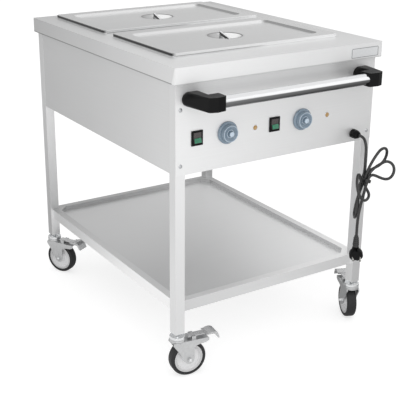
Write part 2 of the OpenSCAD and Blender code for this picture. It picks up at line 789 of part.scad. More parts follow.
module left_switch_frame() switch_frame(switch_xs[0]);
module right_switch_frame() switch_frame(switch_xs[1]);

// The rocker rests tipped to one side; its face has two flats
module rocker(x) color("green") at_front(x, controls_z) translate([0, pivot_y, 0]) {
    h = rocker_h / 2;
    rotate([-rocker_throw / 2, 0, 0]) {
        translate([-rocker_w / 2, 0, 0]) rotate([90, 0, 90]) linear_extrude(rocker_w)
            polygon([[-8.5, h], [-6.2, 0], [-8.5, -h], [0, -h], [4, -h / 2], [4, h / 2], [0, h]]);
        translate([-window_w / 2 - frame_wall, 0, 0]) rotate([0, 90, 0])
            cylinder(d = pivot_d, h = window_w + 2 * frame_wall);
    }
}

module left_rocker() rocker(switch_xs[0]);
module right_rocker() rocker(switch_xs[1]);

// A turned profile [radius, distance from the panel], spun round the control's axis
module knob(x) color("slategray") at_front(x + knob_pitch, controls_z) {
    g = knob_gap;
    r = knob_d / 2;
    gr = grip_d / 2;
    br = boss_d / 2;
    l = knob_len;
    hollow = bush_d / 2 + 5;
    difference() {
        rotate([90, 0, 0]) rotate_extrude() polygon([[0, g], [r, g], [r, g + skirt_t - 1.5],
            [r - 1.5, g + skirt_t], [gr, g + skirt_t + 1], [gr - 1, l - 2], [gr - 3, l], [gr - 6, l],
            [br + 5, l - 3], [br, l - 2.5], [br - 0.5, l + 3.5], [br - 2.5, l + 5], [0, l + 5]]);
        peg(2 * hollow, 0, -9);
    }
    peg(spindle_d, panel_t + thermostat_depth - 6, -10);
}

module left_knob() knob(switch_xs[0]);
module right_knob() knob(switch_xs[1]);

module pilot_lamps() color("orange") for (x = switch_xs) at_front(x + lamp_pitch, controls_z) {
    r = lamp_d / 2;
    rotate([90, 0, 0]) rotate_extrude() polygon([[0, 0], [r, 0], [r, 1.5], [r - 1, 2], [r - 1.8, 2],
        [r - 2.4, 4], [r - 4, 5.2], [0, 5.6]]);
    peg(lamp_hole - 2 * bore_slip, lamp_body, 0);
    peg(lamp_d + 3, panel_t + lamp_nut, panel_t);
}

module panel_screws() color("silver") for (s = screw_spots) at_front(s[0], s[1]) {
    r = screw_head_d / 2;
    difference() {
        rotate([90, 0, 0]) rotate_extrude() polygon([[0, 0], [r, 0], [r, 0.8], [r - 1, 1.8],
            [r - 2.5, screw_head_t], [0, screw_head_t]]);
        for (a = [0, 90]) rotate([0, a, 0])
            translate([-2.2, -screw_head_t - 1, -0.4]) cube([4.4, 2.2, 0.8]);
    }
    peg(screw_d, screw_len - screw_head_t, 0);
}

module badge_plate() color("whitesmoke")
    translate([plate_x1 - badge_x, plate_y0, plate_z - skirt_h / 2 - 3]) rotate([90, 0, 0])
        linear_extrude(1) round_rect(badge_w, badge_h, 4);

module cable_gland() color("black") at_front(gland_spot[0], gland_spot[1]) {
    l = gland_len;
    r = gland_d / 2;
    rotate([90, 0, 0]) rotate_extrude() polygon([[0, 0], [r, 0], [r, 5], [r - 1, 6], [r - 1.5, 6],
        [r - 1.5, l - 9], [r - 3, l - 4], [cord_d / 2 + 3, l], [0, l]]);
    for (a = [0 : 60 : 300]) rotate([0, a, 0]) translate([-3.4, -14, r - 3]) cube([6.8, 9, 2.4]);
    peg(gland_hole - 2 * bore_slip, panel_t + 8, 0);
    peg(gland_hole + 7, panel_t + 5, panel_t);
}

// ---------------------------------------------------------------- power cord

function pass_at(i, up) = waist + pass_pitch * (passes[i][0] * waist_side + passes[i][1] * waist_back)
    + up * pass_half * waist_up;

// Four keys of loop i, between pass i and pass i + 1; even loops hang down, odd ones stand up
function loop_keys(i) =
    let (s = i % 2 == 0 ? -1 : 1, o = loops[i], l = o[0], r = o[1] / 2,
         flat = cos(o[2]) * s * waist_up + sin(o[2]) * waist_side,
         side = cos(o[2]) * waist_side - sin(o[2]) * s * waist_up,
         u = cos(o[3]) * flat + sin(o[3]) * waist_back,
         back = cos(o[3]) * waist_back - sin(o[3]) * flat,
         v = cos(o[4]) * side + sin(o[4]) * back,
         root = (pass_at(i, 0) + pass_at(i + 1, 0)) / 2)
    [[pass_at(i, s), s * waist_up], [root + (l - r) * u + r * v, u], [root + l * u, -v],
     [root + (l - r) * u - r * v, -u]];

// Each loop ends in a straight pass through the waist
function hank_keys() = concat(
    [[pass_at(0, 1), -waist_up]],
    [for (i = [0 : len(loops) - 1]) each concat(loop_keys(i),
        [[pass_at(i + 1, i % 2 == 0 ? -1 : 1), (i % 2 == 0 ? 1 : -1) * waist_up]])],
    [[pass_at(4, -1), -waist_up]]);

function hank_steps(fine) = concat([1], [for (i = [0 : len(loops) - 1]) each [
    for (k = loop_steps) k * fine, 1]]);

function hank_path(fine) = follow(hank_keys(), hank_steps(fine));

// Least clear space between stretches of the hank more than four diameters apart along it
function least_gap(p, skip) = min([for (i = [0 : len(p) - 1]) for (j = [i + skip : 1 : len(p) - 1])
    norm(p[i] - p[j])]) - cord_d;

module cord_lead() color("black") {
    route = concat([for (p = lead_route) cord_exit + p],
        [pass_at(0, 1) + cord_d * waist_up, pass_at(0, 1)]);
    keys = with_directions(route, [0, -1, 0], -waist_up);
    path = follow(keys, [for (i = [0 : len(route) - 2]) i == 0 || i == len(route) - 2 ? 1 : 2]);
    tube(path, cord_d, 10, [0, -1, 0], -waist_up, [1, 0, 0]);
}

module cord_hank() color("black") {
    echo(least_gap_mm = least_gap(hank_path(2), 12));
    tube(hank_path(1), cord_d, 6, -waist_up, -waist_up, [0, 1, 0]);
}

module cord_tail() color("black") {
    route = concat([pass_at(4, -1), pass_at(4, -1) - cord_d * waist_up], [for (p = tail_route) waist + p]);
    keys = with_directions(route, -waist_up, [0, 0, -1]);
    path = follow(keys, [for (i = [0 : len(route) - 2]) i == 0 || i == len(route) - 2 ? 1 : 2]);
    tube(path, cord_d, 10, -waist_up, [0, 0, -1], [0, 1, 0]);
}

module cord_tie() color("black")
    translate(waist) rotate([0, waist_tilt, 0]) translate([0, 0, -tie_h / 2])
        linear_extrude(tie_h) difference() {
            tie_outline(slip + tie_wall);
            tie_outline(slip);
        }

module tie_outline(grow) {
    r = cord_d / 2 + grow;
    l = pass_pitch + 2 * r;
    round_rect(l, 2 * pass_pitch + 2 * r, r);
}

tail_end = waist + tail_route[len(tail_route) - 1];

module strain_relief() color("black") translate(tail_end - [0, 0, relief_len]) {
    cylinder(d1 = cord_d + 9, d2 = cord_d + 3, h = relief_len);
    for (i = [0 : 3]) translate([0, 0, 5 + 6 * i]) cylinder(d = cord_d + 10 - i, h = 3);
}

// Plug frame: +Z is the way its pins point, forwards and down
module at_plug(ahead)
    translate(tail_end - [0, ahead, relief_len + plug_drop]) rotate([plug_tip, 0, -plug_turn]) children();

// Angled mains plug: its lead leaves at the top
module plug() color("black") {
    r = plug_d / 2;
    at_plug(3) {
        difference() {
            rotate_extrude() polygon([[0, -10], [r - 5, -10], [r - 1, -7], [r, -2], [r, 8], [r - 1, 9],
                [0, 9]]);
            for (a = [90, 270]) rotate([0, 0, a]) translate([r - 3, -3, -1]) cube([6, 6, 12]);
        }
        for (x = [-1, 1]) translate([x * plug_pin_pitch / 2, 0, 8])
            cylinder(d = plug_pin_d, h = plug_pin_len + 1);
    }
    hull() {
        translate(tail_end - [0, 0, relief_len + 2]) cylinder(d = cord_d + 9, h = 2, $fn = 32);
        at_plug(1) translate([0, 0, -9]) cylinder(d = plug_d - 12, h = 6, $fn = 32);
    }
}

// ---------------------------------------------------------------- castors

function leg_axis(i) = [leg_spots[i][0] + leg_w / 2, leg_spots[i][1] + leg_w / 2, 0];

// Castor frame: +X is the trail, and the swivel axis is at the origin
module at_castor(i) {
    translate(leg_axis(i)) rotate([0, 0, castor_turns[i]]) children();
}

module castor_stems() color("lightgray") for (i = [0 : 3]) {
    inside = leg_w - 2 * leg_wall - 2 * slip;
    translate(leg_axis(i)) {
        translate([-inside / 2, -inside / 2, castor_h]) cube([inside, inside, stem_plug]);
        translate([-leg_w / 2, -leg_w / 2, castor_h - collar_t]) cube([leg_w, leg_w, collar_t]);
        translate([0, 0, cup_z + 2]) cylinder(d = stem_d, h = castor_h - collar_t - cup_z - 2);
        rotate_extrude() polygon([[0, cup_z], [head_d / 2 - 1, cup_z], [head_d / 2, cup_z + 1],
            [head_d / 2, cup_z + cup_t - 1], [head_d / 2 - 1, cup_z + cup_t],
            [head_d / 2 - 4, cup_z + cup_t], [head_d / 2 - 6, cup_z + 4], [0, cup_z + 4]]);
        translate([0, 0, crown_z - pin_head_t]) {
            cylinder(d = kingpin_d, h = cup_z - crown_z + pin_head_t + 1);
            cylinder(d = kingpin_d + 5, h = pin_head_t - slip);
        }
    }
}

// Cheek of the fork, seen from the side: [along the trail, height]; w is the wheel's radius
function cheek() = let (a = trail, w = axle_z, eye = 0.26 * w, top = crown_z + fork_t)
    [[-head_d / 2 + crown_cut, top], [-head_d / 2 + crown_cut - 2, top - 7], [a - 0.54 * w, 1.44 * w],
     [a - 0.24 * w, 0.84 * w],
     for (k = [200 : 20 : 340]) [a + eye * cos(k), w + eye * sin(k)],
     [a + 0.28 * w, 1.04 * w], [a + 0.28 * w, 1.66 * w], [a + 0.4 * w, 1.76 * w], [a + 0.62 * w, 1.82 * w],
     [a + 0.92 * w, 1.84 * w], [a + 1.12 * w, 1.92 * w], [crown_end + 2, top - 2], [crown_end, top]];

module fork(i) color("darkgray") at_castor(i) {
    difference() {
        union() {
            translate([0, 0, crown_z + fork_t]) rotate_extrude() polygon([[0, 0], [head_d / 2 - 1, 0],
                [head_d / 2, 1], [head_d / 2, ring_t - 1], [head_d / 2 - 1, ring_t], [0, ring_t]]);
            translate([0, 0, crown_z]) linear_extrude(fork_t) {
                circle(d = head_d);
                translate([crown_cut - head_d / 2, -fork_w / 2])
                    square([crown_end - crown_cut + head_d / 2, fork_w]);
            }
            for (y = [-fork_w / 2, fork_w / 2 - fork_t]) translate([0, y + fork_t, 0])
                rotate([90, 0, 0]) linear_extrude(fork_t) polygon(cheek());
            // ears that carry the pedal's pin
            for (y = [ear_inset - fork_w / 2, fork_w / 2 - ear_inset - ear_t])
                translate([pedal_pivot[0] - ear_l / 2, y, crown_z]) cube([ear_l, ear_t, fork_t + ear_h]);
        }
        translate([0, 0, crown_z - 1]) cylinder(d = kingpin_d + 2 * running_fit, h = fork_t + ring_t + 2);
        translate([trail, fork_w, axle_z]) rotate([90, 0, 0])
            cylinder(d = axle_d + 2 * bore_slip, h = 2 * fork_w);
        translate([pedal_pivot[0], fork_w, pedal_pivot[1]]) rotate([90, 0, 0])
            cylinder(d = pin_d, h = 2 * fork_w);
    }
    // axle bolt with its head and nut
    translate([trail, 0, axle_z]) rotate([90, 0, 0]) {
        cylinder(d = axle_d, h = fork_w + 2, center = true);
        for (m = [0, 1]) mirror([0, 0, m]) translate([0, 0, fork_w / 2]) {
            cylinder(d = axle_d + 6, h = nut_t - 1, $fn = 6);
            cylinder(d = axle_d, h = nut_t);
        }
    }
    // pedal pin
    translate([pedal_pivot[0], 0, pedal_pivot[1]]) rotate([90, 0, 0])
        cylinder(d = pin_d, h = fork_w - 2 * ear_inset, center = true);
}

// Web, rim and hub of the wheel, as a turned profile of [radius, offset]
module hub(i) color("whitesmoke") at_castor(i) translate([trail, 0, axle_z]) rotate([90, 0, 0])
    rotate_extrude() {
        bore = axle_d / 2 + running_fit + bore_slip;
        r = rim_d / 2;
        w = tread_w / 2;
        polygon([[bore, -hub_w / 2], [12, -hub_w / 2], [13, -w + 2], [16, -4], [r - 9, -4], [r - 6, -w + 1],
            [r - 2, -w + 1], [r, -w + 3], [r, w - 3], [r - 2, w - 1], [r - 6, w - 1], [r - 9, 4], [16, 4],
            [13, w - 2], [12, hub_w / 2], [bore, hub_w / 2]]);
    }

// Rubber tread with rounded shoulders
module tread(i) color("dimgray") at_castor(i) translate([trail, 0, axle_z]) rotate([90, 0, 0])
    rotate_extrude() difference() {
        union() {
            translate([rim_d / 2, -tread_w / 2 + tread_r])
                square([(wheel_d - rim_d) / 2, tread_w - 2 * tread_r]);
            translate([rim_d / 2, -tread_w / 2]) square([(wheel_d - rim_d) / 2 - tread_r, tread_w]);
            for (s = [-1, 1])
                translate([wheel_d / 2 - tread_r, s * (tread_w / 2 - tread_r)]) circle(tread_r);
        }
        square([rim_d / 2, tread_w], center = false);
        translate([0, -tread_w]) square([rim_d / 2, tread_w]);
    }

// Brake pedal: a pressed lever on the pin, with a humped moulded end
module pedal(i) color("dimgray") at_castor(i) {
    x = pedal_pivot[0];
    z = pedal_pivot[1];
    difference() {
        union() {
            translate([x, 0, z]) rotate([90, 0, 0])
                cylinder(d = 2 * (z - crown_z - fork_t - slip), h = lever_w, center = true);
            translate([x - lever_tail, -lever_w / 2, z + lever_lift])
                cube([lever_len + lever_tail, lever_w, fork_t]);
            translate([pedal_plate_end, pedal_w / 2, z]) rotate([90, 0, 0]) linear_extrude(pedal_w)
                polygon(concat([[-4, lever_lift], [-4, lever_lift + fork_t + 1]],
                    [for (k = [0 : 6]) let (a = 140 - 20 * k)
                        [cap_len * (0.42 + 0.45 * cos(a)), cap_rise * sin(a) - 1]],
                    [[cap_len, -cap_drop], [cap_len - cap_lip, 1 - cap_drop],
                     [0.67 * cap_len, -1], [0.45 * cap_len, lever_lift]]));
        }
        translate([x, 0, z]) rotate([90, 0, 0])
            cylinder(d = pin_d + 2 * running_fit, h = lever_w + 2, center = true);
    }
}

module front_left_fork() fork(0);
module front_right_fork() fork(1);
module back_left_fork() fork(2);
module back_right_fork() fork(3);
module front_left_hub() hub(0);
module front_right_hub() hub(1);
module back_left_hub() hub(2);
module back_right_hub() hub(3);
module front_left_tread() tread(0);
module front_right_tread() tread(1);
module back_left_tread() tread(2);
module back_right_tread() tread(3);
module front_left_pedal() pedal(0);
module front_right_pedal() pedal(1);
module back_left_pedal() pedal(2);
module back_right_pedal() pedal(3);

top_plate();
left_panel();
right_panel();
back_panel();
control_panel();
body_floor();
leg_front_left();
leg_front_right();
leg_back_left();
leg_back_right();
lower_shelf();
front_well();
back_well();
front_pan();
back_pan();
front_lid();
back_lid();
front_lid_handle();
back_lid_handle();
heating_elements();
thermostats();
terminal_block();
left_bracket();
right_bracket();
handle_tube();
bracket_screws();
left_switch_frame();
right_switch_frame();
left_rocker();
right_rocker();
left_knob();
right_knob();
pilot_lamps();
panel_screws();
badge_plate();
cable_gland();
cord_lead();
cord_hank();
cord_tail();
cord_tie();
strain_relief();
plug();
castor_stems();
front_left_fork();
front_right_fork();
back_left_fork();
back_right_fork();
front_left_hub();
front_right_hub();
back_left_hub();
back_right_hub();
front_left_tread();
front_right_tread();
back_left_tread();
back_right_tread();
front_left_pedal();
front_right_pedal();
back_left_pedal();
back_right_pedal();
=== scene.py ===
import json
import math

import bmesh
import bpy
from mathutils import Euler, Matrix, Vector


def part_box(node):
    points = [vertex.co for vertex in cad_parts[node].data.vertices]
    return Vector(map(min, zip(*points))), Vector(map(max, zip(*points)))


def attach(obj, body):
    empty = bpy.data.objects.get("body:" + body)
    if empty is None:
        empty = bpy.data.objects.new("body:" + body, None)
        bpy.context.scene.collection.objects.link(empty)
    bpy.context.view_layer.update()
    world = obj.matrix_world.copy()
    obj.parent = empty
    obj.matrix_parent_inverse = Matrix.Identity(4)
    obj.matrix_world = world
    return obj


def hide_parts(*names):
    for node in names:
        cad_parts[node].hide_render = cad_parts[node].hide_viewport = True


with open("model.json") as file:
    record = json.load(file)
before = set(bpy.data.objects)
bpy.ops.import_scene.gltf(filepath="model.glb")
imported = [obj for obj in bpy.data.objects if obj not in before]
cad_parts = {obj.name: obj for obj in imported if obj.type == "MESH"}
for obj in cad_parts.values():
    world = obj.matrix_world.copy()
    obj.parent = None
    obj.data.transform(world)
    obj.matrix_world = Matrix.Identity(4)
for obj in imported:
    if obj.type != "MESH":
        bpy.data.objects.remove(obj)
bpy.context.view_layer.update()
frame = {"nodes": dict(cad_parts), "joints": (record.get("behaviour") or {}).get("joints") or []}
nodes = frame["nodes"]
scene = bpy.context.scene

# ------------------------------------------------------------------ camera
# The photograph's viewing angle, fitted to the corners of the plate, the legs and the castors. It is
# placed from the plate's front left corner, and its height is counted from the floor.

CAMERA_FROM_PLATE = Vector((-1.0710, -1.7724, 1.3003))
CAMERA_YAW = 31.47
CAMERA_PITCH = 19.53
CAMERA_LENS = 81.43
CAMERA_SHIFT = (0.05, -0.05)

plate_low, plate_high = (Vector(corner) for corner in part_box("top_plate"))
camera_data = bpy.data.cameras.new("camera")
camera_data.sensor_width = 36
camera_data.lens = CAMERA_LENS
camera_data.shift_x, camera_data.shift_y = CAMERA_SHIFT
camera_data.clip_end = 50
camera = bpy.data.objects.new("camera", camera_data)
camera.location = (plate_low.x + CAMERA_FROM_PLATE.x, plate_low.y + CAMERA_FROM_PLATE.y, CAMERA_FROM_PLATE.z)
camera.rotation_euler = (math.radians(90 - CAMERA_PITCH), 0, math.radians(-CAMERA_YAW))
scene.collection.objects.link(camera)
scene.camera = camera

# ------------------------------------------------------------------ mains cord
# A round rubber cord, 8 mm thick. It leaves the gland, is folded into a hank of four loops held by a
# tie, and hangs down to the plug. The route repeats the CAD's points and loops, in millimetres from
# the mouth of the gland.

MM = 0.001
CORD_D = 8
LEAD = [(0, 0, 0), (0, -8, 0), (-1, -20, -3), (-3, -30, -12), (-5, -36, -26), (-6, -38, -44),
        (-5, -37, -62), (-2, -34, -80)]
WAIST = Vector((-1, -38, -117))
WAIST_TILT = math.radians(22)
WAIST_UP = Vector((math.sin(WAIST_TILT), 0, math.cos(WAIST_TILT)))
WAIST_SIDE = Vector((math.cos(WAIST_TILT), 0, -math.sin(WAIST_TILT)))
WAIST_BACK = Vector((0, 1, 0))
PASS_HALF = 8
PASS_PITCH = CORD_D + 1
# Where each pass crosses the waist, in pitches to the side and to the back
PASSES = [(-0.5, 1), (0.5, 1), (-0.5, 0), (0.5, 0), (0, -1)]
# Length, width, lean to the side, lean to the back and roll of each loop
LOOPS = [(113, 46, 15, 5, -127), (105, 51, 23, 0, 15), (62, 83, -35, -30, 180), (90, 49, 49, -7, 165)]
LOOP_STEPS = (8, 4, 4, 8)
END_STEPS = 4
TAIL = [(-9, -10, -24), (-16, -11, -45), (-22, -11, -68), (-26, -10, -94), (-28, -10, -125),
        (-28, -10, -147), (-28, -10, -155)]
FINE = 3
BEND_PULL = 1.12
# A fold that is tighter than this radius is eased, a little in each round
EASE_BELOW = 12
EASE_STEP = 4
EASE_ROUNDS = 30
EASE_SHARE = 0.5
EASE_FOLLOW = 0.7

gland_low, gland_high = (Vector(corner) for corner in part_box("cable_gland"))
cord_exit = Vector(((gland_low.x + gland_high.x) / 2, gland_low.y, (gland_low.z + gland_high.z) / 2))


def pass_at(i, up):
    """The end of a pass through the waist: 1 for the upper one, -1 for the lower one."""
    side, back = PASSES[i]
    return WAIST + PASS_PITCH * (side * WAIST_SIDE + back * WAIST_BACK) + up * PASS_HALF * WAIST_UP


def bend(a, ta, b, tb, t):
    """A point of the smooth curve from a, towards ta, to b, towards tb."""
    pull = BEND_PULL * (b - a).length
    return ((2 * t ** 3 - 3 * t * t + 1) * a + (t ** 3 - 2 * t * t + t) * pull * ta
            + (3 * t * t - 2 * t ** 3) * b + (t ** 3 - t * t) * pull * tb)


def follow(keys, steps):
    """The points of a curve through keys of (place, direction)."""
    points = [keys[0][0]]
    for i, count in enumerate(steps):
        points += [bend(*keys[i], *keys[i + 1], k / count) for k in range(1, count + 1)]
    return points


def with_directions(route, first, last):
    """The keys of a route, whose directions follow the points before and after each."""
    middle = [(route[i], (route[i + 1] - route[i - 1]).normalized()) for i in range(1, len(route) - 1)]
    return [(route[0], first)] + middle + [(route[-1], last)]


def loop_keys(i):
    """The five keys of a loop of the hank: two at the waist, three round its far end."""
    s = -1 if i % 2 == 0 else 1
    length, width, lean, lean_back, roll = LOOPS[i]
    r = width / 2
    lean, lean_back, roll = (math.radians(a) for a in (lean, lean_back, roll))
    flat = math.cos(lean) * s * WAIST_UP + math.sin(lean) * WAIST_SIDE
    side = math.cos(lean) * WAIST_SIDE - math.sin(lean) * s * WAIST_UP
    u = math.cos(lean_back) * flat + math.sin(lean_back) * WAIST_BACK
    back = math.cos(lean_back) * WAIST_BACK - math.sin(lean_back) * flat
    v = math.cos(roll) * side + math.sin(roll) * back
    root = (pass_at(i, 0) + pass_at(i + 1, 0)) / 2
    return [(pass_at(i, s), s * WAIST_UP), (root + (length - r) * u + r * v, u), (root + length * u, -v),
            (root + (length - r) * u - r * v, -u), (pass_at(i + 1, s), -s * WAIST_UP)]


lead_route = [Vector(p) for p in LEAD] + [pass_at(0, 1) + CORD_D * WAIST_UP, pass_at(0, 1)]
tail_route = [pass_at(4, -1), pass_at(4, -1) - CORD_D * WAIST_UP] + [WAIST + Vector(p) for p in TAIL]
hank_keys = [(pass_at(0, 1), -WAIST_UP)] + [key for i in range(4) for key in loop_keys(i)]
hank_keys.append((pass_at(4, -1), -WAIST_UP))
hank_steps = [1] + [n * FINE if n > 1 else 1 for i in range(4) for n in LOOP_STEPS + (1,)]
lead_keys = with_directions(lead_route, Vector((0, -1, 0)), -WAIST_UP)
tail_keys = with_directions(tail_route, -WAIST_UP, Vector((0, 0, -1)))
cord_points = follow(lead_keys, [END_STEPS] * (len(lead_route) - 1))
cord_points += follow(hank_keys, hank_steps)[1:]
cord_points += follow(tail_keys, [END_STEPS] * (len(tail_route) - 1))[1:]


def evenly(points, step):
    """Points at equal distances along a path."""
    spread, left = [points[0]], step
    for a, b in zip(points, points[1:]):
        while left <= (b - a).length:
            a = a + left * (b - a).normalized()
            spread.append(a)
            left = step
        left -= (b - a).length
    return spread + [points[-1]]


def bend_radius(a, b, c):
    """The radius of the circle through three points."""
    area = (b - a).cross(c - a).length / 2
    return (b - a).length * (c - b).length * (a - c).length / (4 * area) if area > 1e-9 else math.inf


def eased(points):
    """Each tight fold moves towards the middle of its neighbours, and they follow it."""
    inner = range(3, len(points) - 3)
    for _ in range(EASE_ROUNDS):
        tight = [0.0] * len(points)
        for i in inner:
            tight[i] = max(0.0, 1 - bend_radius(*points[i - 1:i + 2]) / EASE_BELOW)
        moved = list(points)
        for i in inner:
            pull = max(tight[i], EASE_FOLLOW * max(tight[i - 1], tight[i + 1]))
            if pull:
                moved[i] = points[i] + EASE_SHARE * pull * ((points[i - 1] + points[i + 1]) / 2 - points[i])
        points = moved
    return points


cord_points = eased(evenly(cord_points, EASE_STEP))
cord_keys = with_directions(cord_points, Vector((0, -1, 0)), Vector((0, 0, -1)))
cord_points = [cord_exit + MM * p for p in follow(cord_keys, [2] * (len(cord_keys) - 1))]


def tube(name, points, radius, sides=14):
    """A capped tube of rings that turn with the path as little as they can."""
    vertices, faces = [], []
    across = Vector((1, 0, 0))
    for i, point in enumerate(points):
        along = (points[min(i + 1, len(points) - 1)] - points[max(i - 1, 0)]).normalized()
        across = (across - across.dot(along) * along).normalized()
        other = along.cross(across)
        for k in range(sides):
            a = 2 * math.pi * k / sides
            vertices.append(point + radius * (math.cos(a) * across + math.sin(a) * other))
    for i in range(len(points) - 1):
        for k in range(sides):
            j = (k + 1) % sides
            faces.append((i * sides + k, i * sides + j, (i + 1) * sides + j, (i + 1) * sides + k))
    faces.append(tuple(range(sides))[::-1])
    faces.append(tuple((len(points) - 1) * sides + k for k in range(sides)))
    data = bpy.data.meshes.new(name)
    data.from_pydata([tuple(v) for v in vertices], [], faces)
    data.update()
    for polygon in data.polygons[:-2]:
        polygon.use_smooth = True
    return data


def surface(name, dark, light, rough, metallic=0.0, grain=(120, 120, 120), bump=0.15, depth=0.0002,
            patch=6.0, patch_share=0.35, coat=0.0, specular=0.5):
    """A finish with a fine grain, stretched along its working direction, and broad uneven patches."""
    faint, strong = 0.3, 0.7
    material = bpy.data.materials.new(name)
    material.use_nodes = True
    tree = material.node_tree
    shader = tree.nodes["Principled BSDF"]
    shader.inputs["Metallic"].default_value = metallic
    shader.inputs["Coat Weight"].default_value = coat
    shader.inputs["Specular IOR Level"].default_value = specular
    place = tree.nodes.new("ShaderNodeTexCoord")
    stretch = tree.nodes.new("ShaderNodeMapping")
    stretch.inputs["Scale"].default_value = grain
    fine = tree.nodes.new("ShaderNodeTexNoise")
    fine.inputs["Scale"].default_value = 1.0
    fine.inputs["Detail"].default_value = 5.0
    broad = tree.nodes.new("ShaderNodeTexNoise")
    broad.inputs["Scale"].default_value = patch
    broad.inputs["Detail"].default_value = 3.0
    blend = tree.nodes.new("ShaderNodeMix")
    blend.inputs[0].default_value = patch_share
    tint = tree.nodes.new("ShaderNodeValToRGB")
    tint.color_ramp.elements[0].position = faint
    tint.color_ramp.elements[0].color = (*dark, 1)
    tint.color_ramp.elements[1].position = strong
    tint.color_ramp.elements[1].color = (*light, 1)
    gloss = tree.nodes.new("ShaderNodeMapRange")
    gloss.inputs["From Min"].default_value = faint
    gloss.inputs["From Max"].default_value = strong
    gloss.inputs["To Min"].default_value = rough[0]
    gloss.inputs["To Max"].default_value = rough[1]
    relief = tree.nodes.new("ShaderNodeBump")
    relief.inputs["Strength"].default_value = bump
    relief.inputs["Distance"].default_value = depth
    link = tree.links.new
    link(place.outputs["Object"], stretch.inputs["Vector"])
    link(stretch.outputs["Vector"], fine.inputs["Vector"])
    link(place.outputs["Object"], broad.inputs["Vector"])
    link(fine.outputs["Fac"], blend.inputs[2])
    link(broad.outputs["Fac"], blend.inputs[3])
    link(blend.outputs[0], tint.inputs["Fac"])
    link(blend.outputs[0], gloss.inputs["Value"])
    link(fine.outputs["Fac"], relief.inputs["Height"])
    link(tint.outputs["Color"], shader.inputs["Base Color"])
    link(gloss.outputs["Result"], shader.inputs["Roughness"])
    link(relief.outputs["Normal"], shader.inputs["Normal"])
    return material


def dress(material, *names):
    """Give CAD nodes their finish."""
    for name in names:
        slots = nodes[name].material_slots
        for each in slots:
            each.material = material
        if not len(slots):
            nodes[name].data.materials.append(material)


cord_rubber = surface("cord_rubber", (0.006, 0.006, 0.006), (0.016, 0.016, 0.017), (0.26, 0.36),
                      grain=(500, 500, 500), bump=0.15, specular=0.7)
mains_cord = bpy.data.objects.new("mains_cord", tube("mains_cord", cord_points, CORD_D / 2 * MM))
scene.collection.objects.link(mains_cord)
mains_cord.data.materials.append(cord_rubber)
dress(cord_rubber, "cord_tie", "strain_relief")
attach(mains_cord, "trolley")
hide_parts("cord_lead", "cord_hank", "cord_tail")

# ------------------------------------------------------------------ plug and gland
# An angled mains plug, moulded in black plastic on the end of the cord, with two plated pins. The
# gland is a black plastic screw fitting, clamped in a hole of the control panel.

RELIEF_LEN = 32
PLUG_DROP = 22
PLUG_AHEAD = 3
PLUG_TURN = Euler((math.radians(110), 0, math.radians(-36))).to_matrix()
PIN_PITCH = 19
PIN_R = 2.5
PIN_START, PIN_END = 9, 28.2
# A pin's rounded tip: share of the radius and distance short of the end
PIN_TIP = ((1, 1.4), (0.86, 0.5), (0.5, 0))

black_plastic = surface("black_plastic", (0.0025, 0.0025, 0.0025), (0.007, 0.007, 0.0075), (0.26, 0.40),
                        grain=(700, 700, 700), bump=0.2, specular=0.12)
pin_metal = surface("pin_metal", (0.62, 0.61, 0.58), (0.80, 0.79, 0.76), (0.12, 0.2), metallic=1,
                    grain=(300, 300, 300), bump=0.05)


def turned(name, profile, base, axis, sides=40):
    """A piece spun round an axis from a profile of (radius, distance from the base)."""
    across = axis.orthogonal().normalized()
    other = axis.cross(across)
    mesh = bmesh.new()
    rings = []
    turns = [2 * math.pi * k / sides for k in range(sides)]
    for radius, along in profile:
        spokes = [radius * (math.cos(a) * across + math.sin(a) * other) for a in turns]
        rings.append([mesh.verts.new(base + along * axis + spoke) for spoke in spokes])
    for first, second in zip(rings, rings[1:]):
        for k in range(sides):
            j = (k + 1) % sides
            mesh.faces.new((first[k], first[j], second[j], second[k]))
    bmesh.ops.remove_doubles(mesh, verts=mesh.verts, dist=1e-7)
    bmesh.ops.recalc_face_normals(mesh, faces=mesh.faces)
    data = bpy.data.meshes.new(name)
    mesh.to_mesh(data)
    mesh.free()
    return data


def add_piece(name, data, material, body, crease=40):
    """A finished mesh becomes a piece that rides on a body."""
    piece = bpy.data.objects.new(name, data)
    scene.collection.objects.link(piece)
    data.materials.clear()
    data.materials.append(material)
    for polygon in data.polygons:
        polygon.use_smooth = True
    data.set_sharp_from_angle(angle=math.radians(crease))
    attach(piece, body)
    return piece


dress(black_plastic, "plug", "cable_gland")
plug_axis = PLUG_TURN @ Vector((0, 0, 1))
plug_centre = cord_exit + MM * (WAIST + Vector(TAIL[-1]) - Vector((0, PLUG_AHEAD, RELIEF_LEN + PLUG_DROP)))
for side, s in (("left", -1), ("right", 1)):
    foot = plug_centre + PLUG_TURN @ Vector((s * PIN_PITCH / 2 * MM, 0, 0))
    tip = [(PIN_R * share, PIN_END - short) for share, short in PIN_TIP]
    profile = [(0, PIN_START), (PIN_R, PIN_START)] + tip + [(0, PIN_END)]
    pin = turned("plug_pin_" + side, [(MM * r, MM * d) for r, d in profile], foot, plug_axis, 20)
    add_piece("plug_pin_" + side, pin, pin_metal, "trolley")

# ------------------------------------------------------------------ legs
# Four square stainless tubes, ground lengthwise. The shelf and the body are welded to them at the
# corners, and a castor plugs into the foot of each.

# A steel's darkest and lightest grain, and its slight blue
STEEL_SPREAD = (0.965, 1.02)
STEEL_TINT = (1, 1.003, 1.006)
TUBE_EDGE = 0.0008


def steel(name, level, rough, grain, bump=0.05, patch_share=0.5, metallic=1.0):
    """Stainless sheet or tube at a level of brightness, ground along one direction."""
    dark, light = (tuple(share * level * tint for tint in STEEL_TINT) for share in STEEL_SPREAD)
    return surface(name, dark, light, rough, metallic, grain, bump, patch=3.0, patch_share=patch_share)


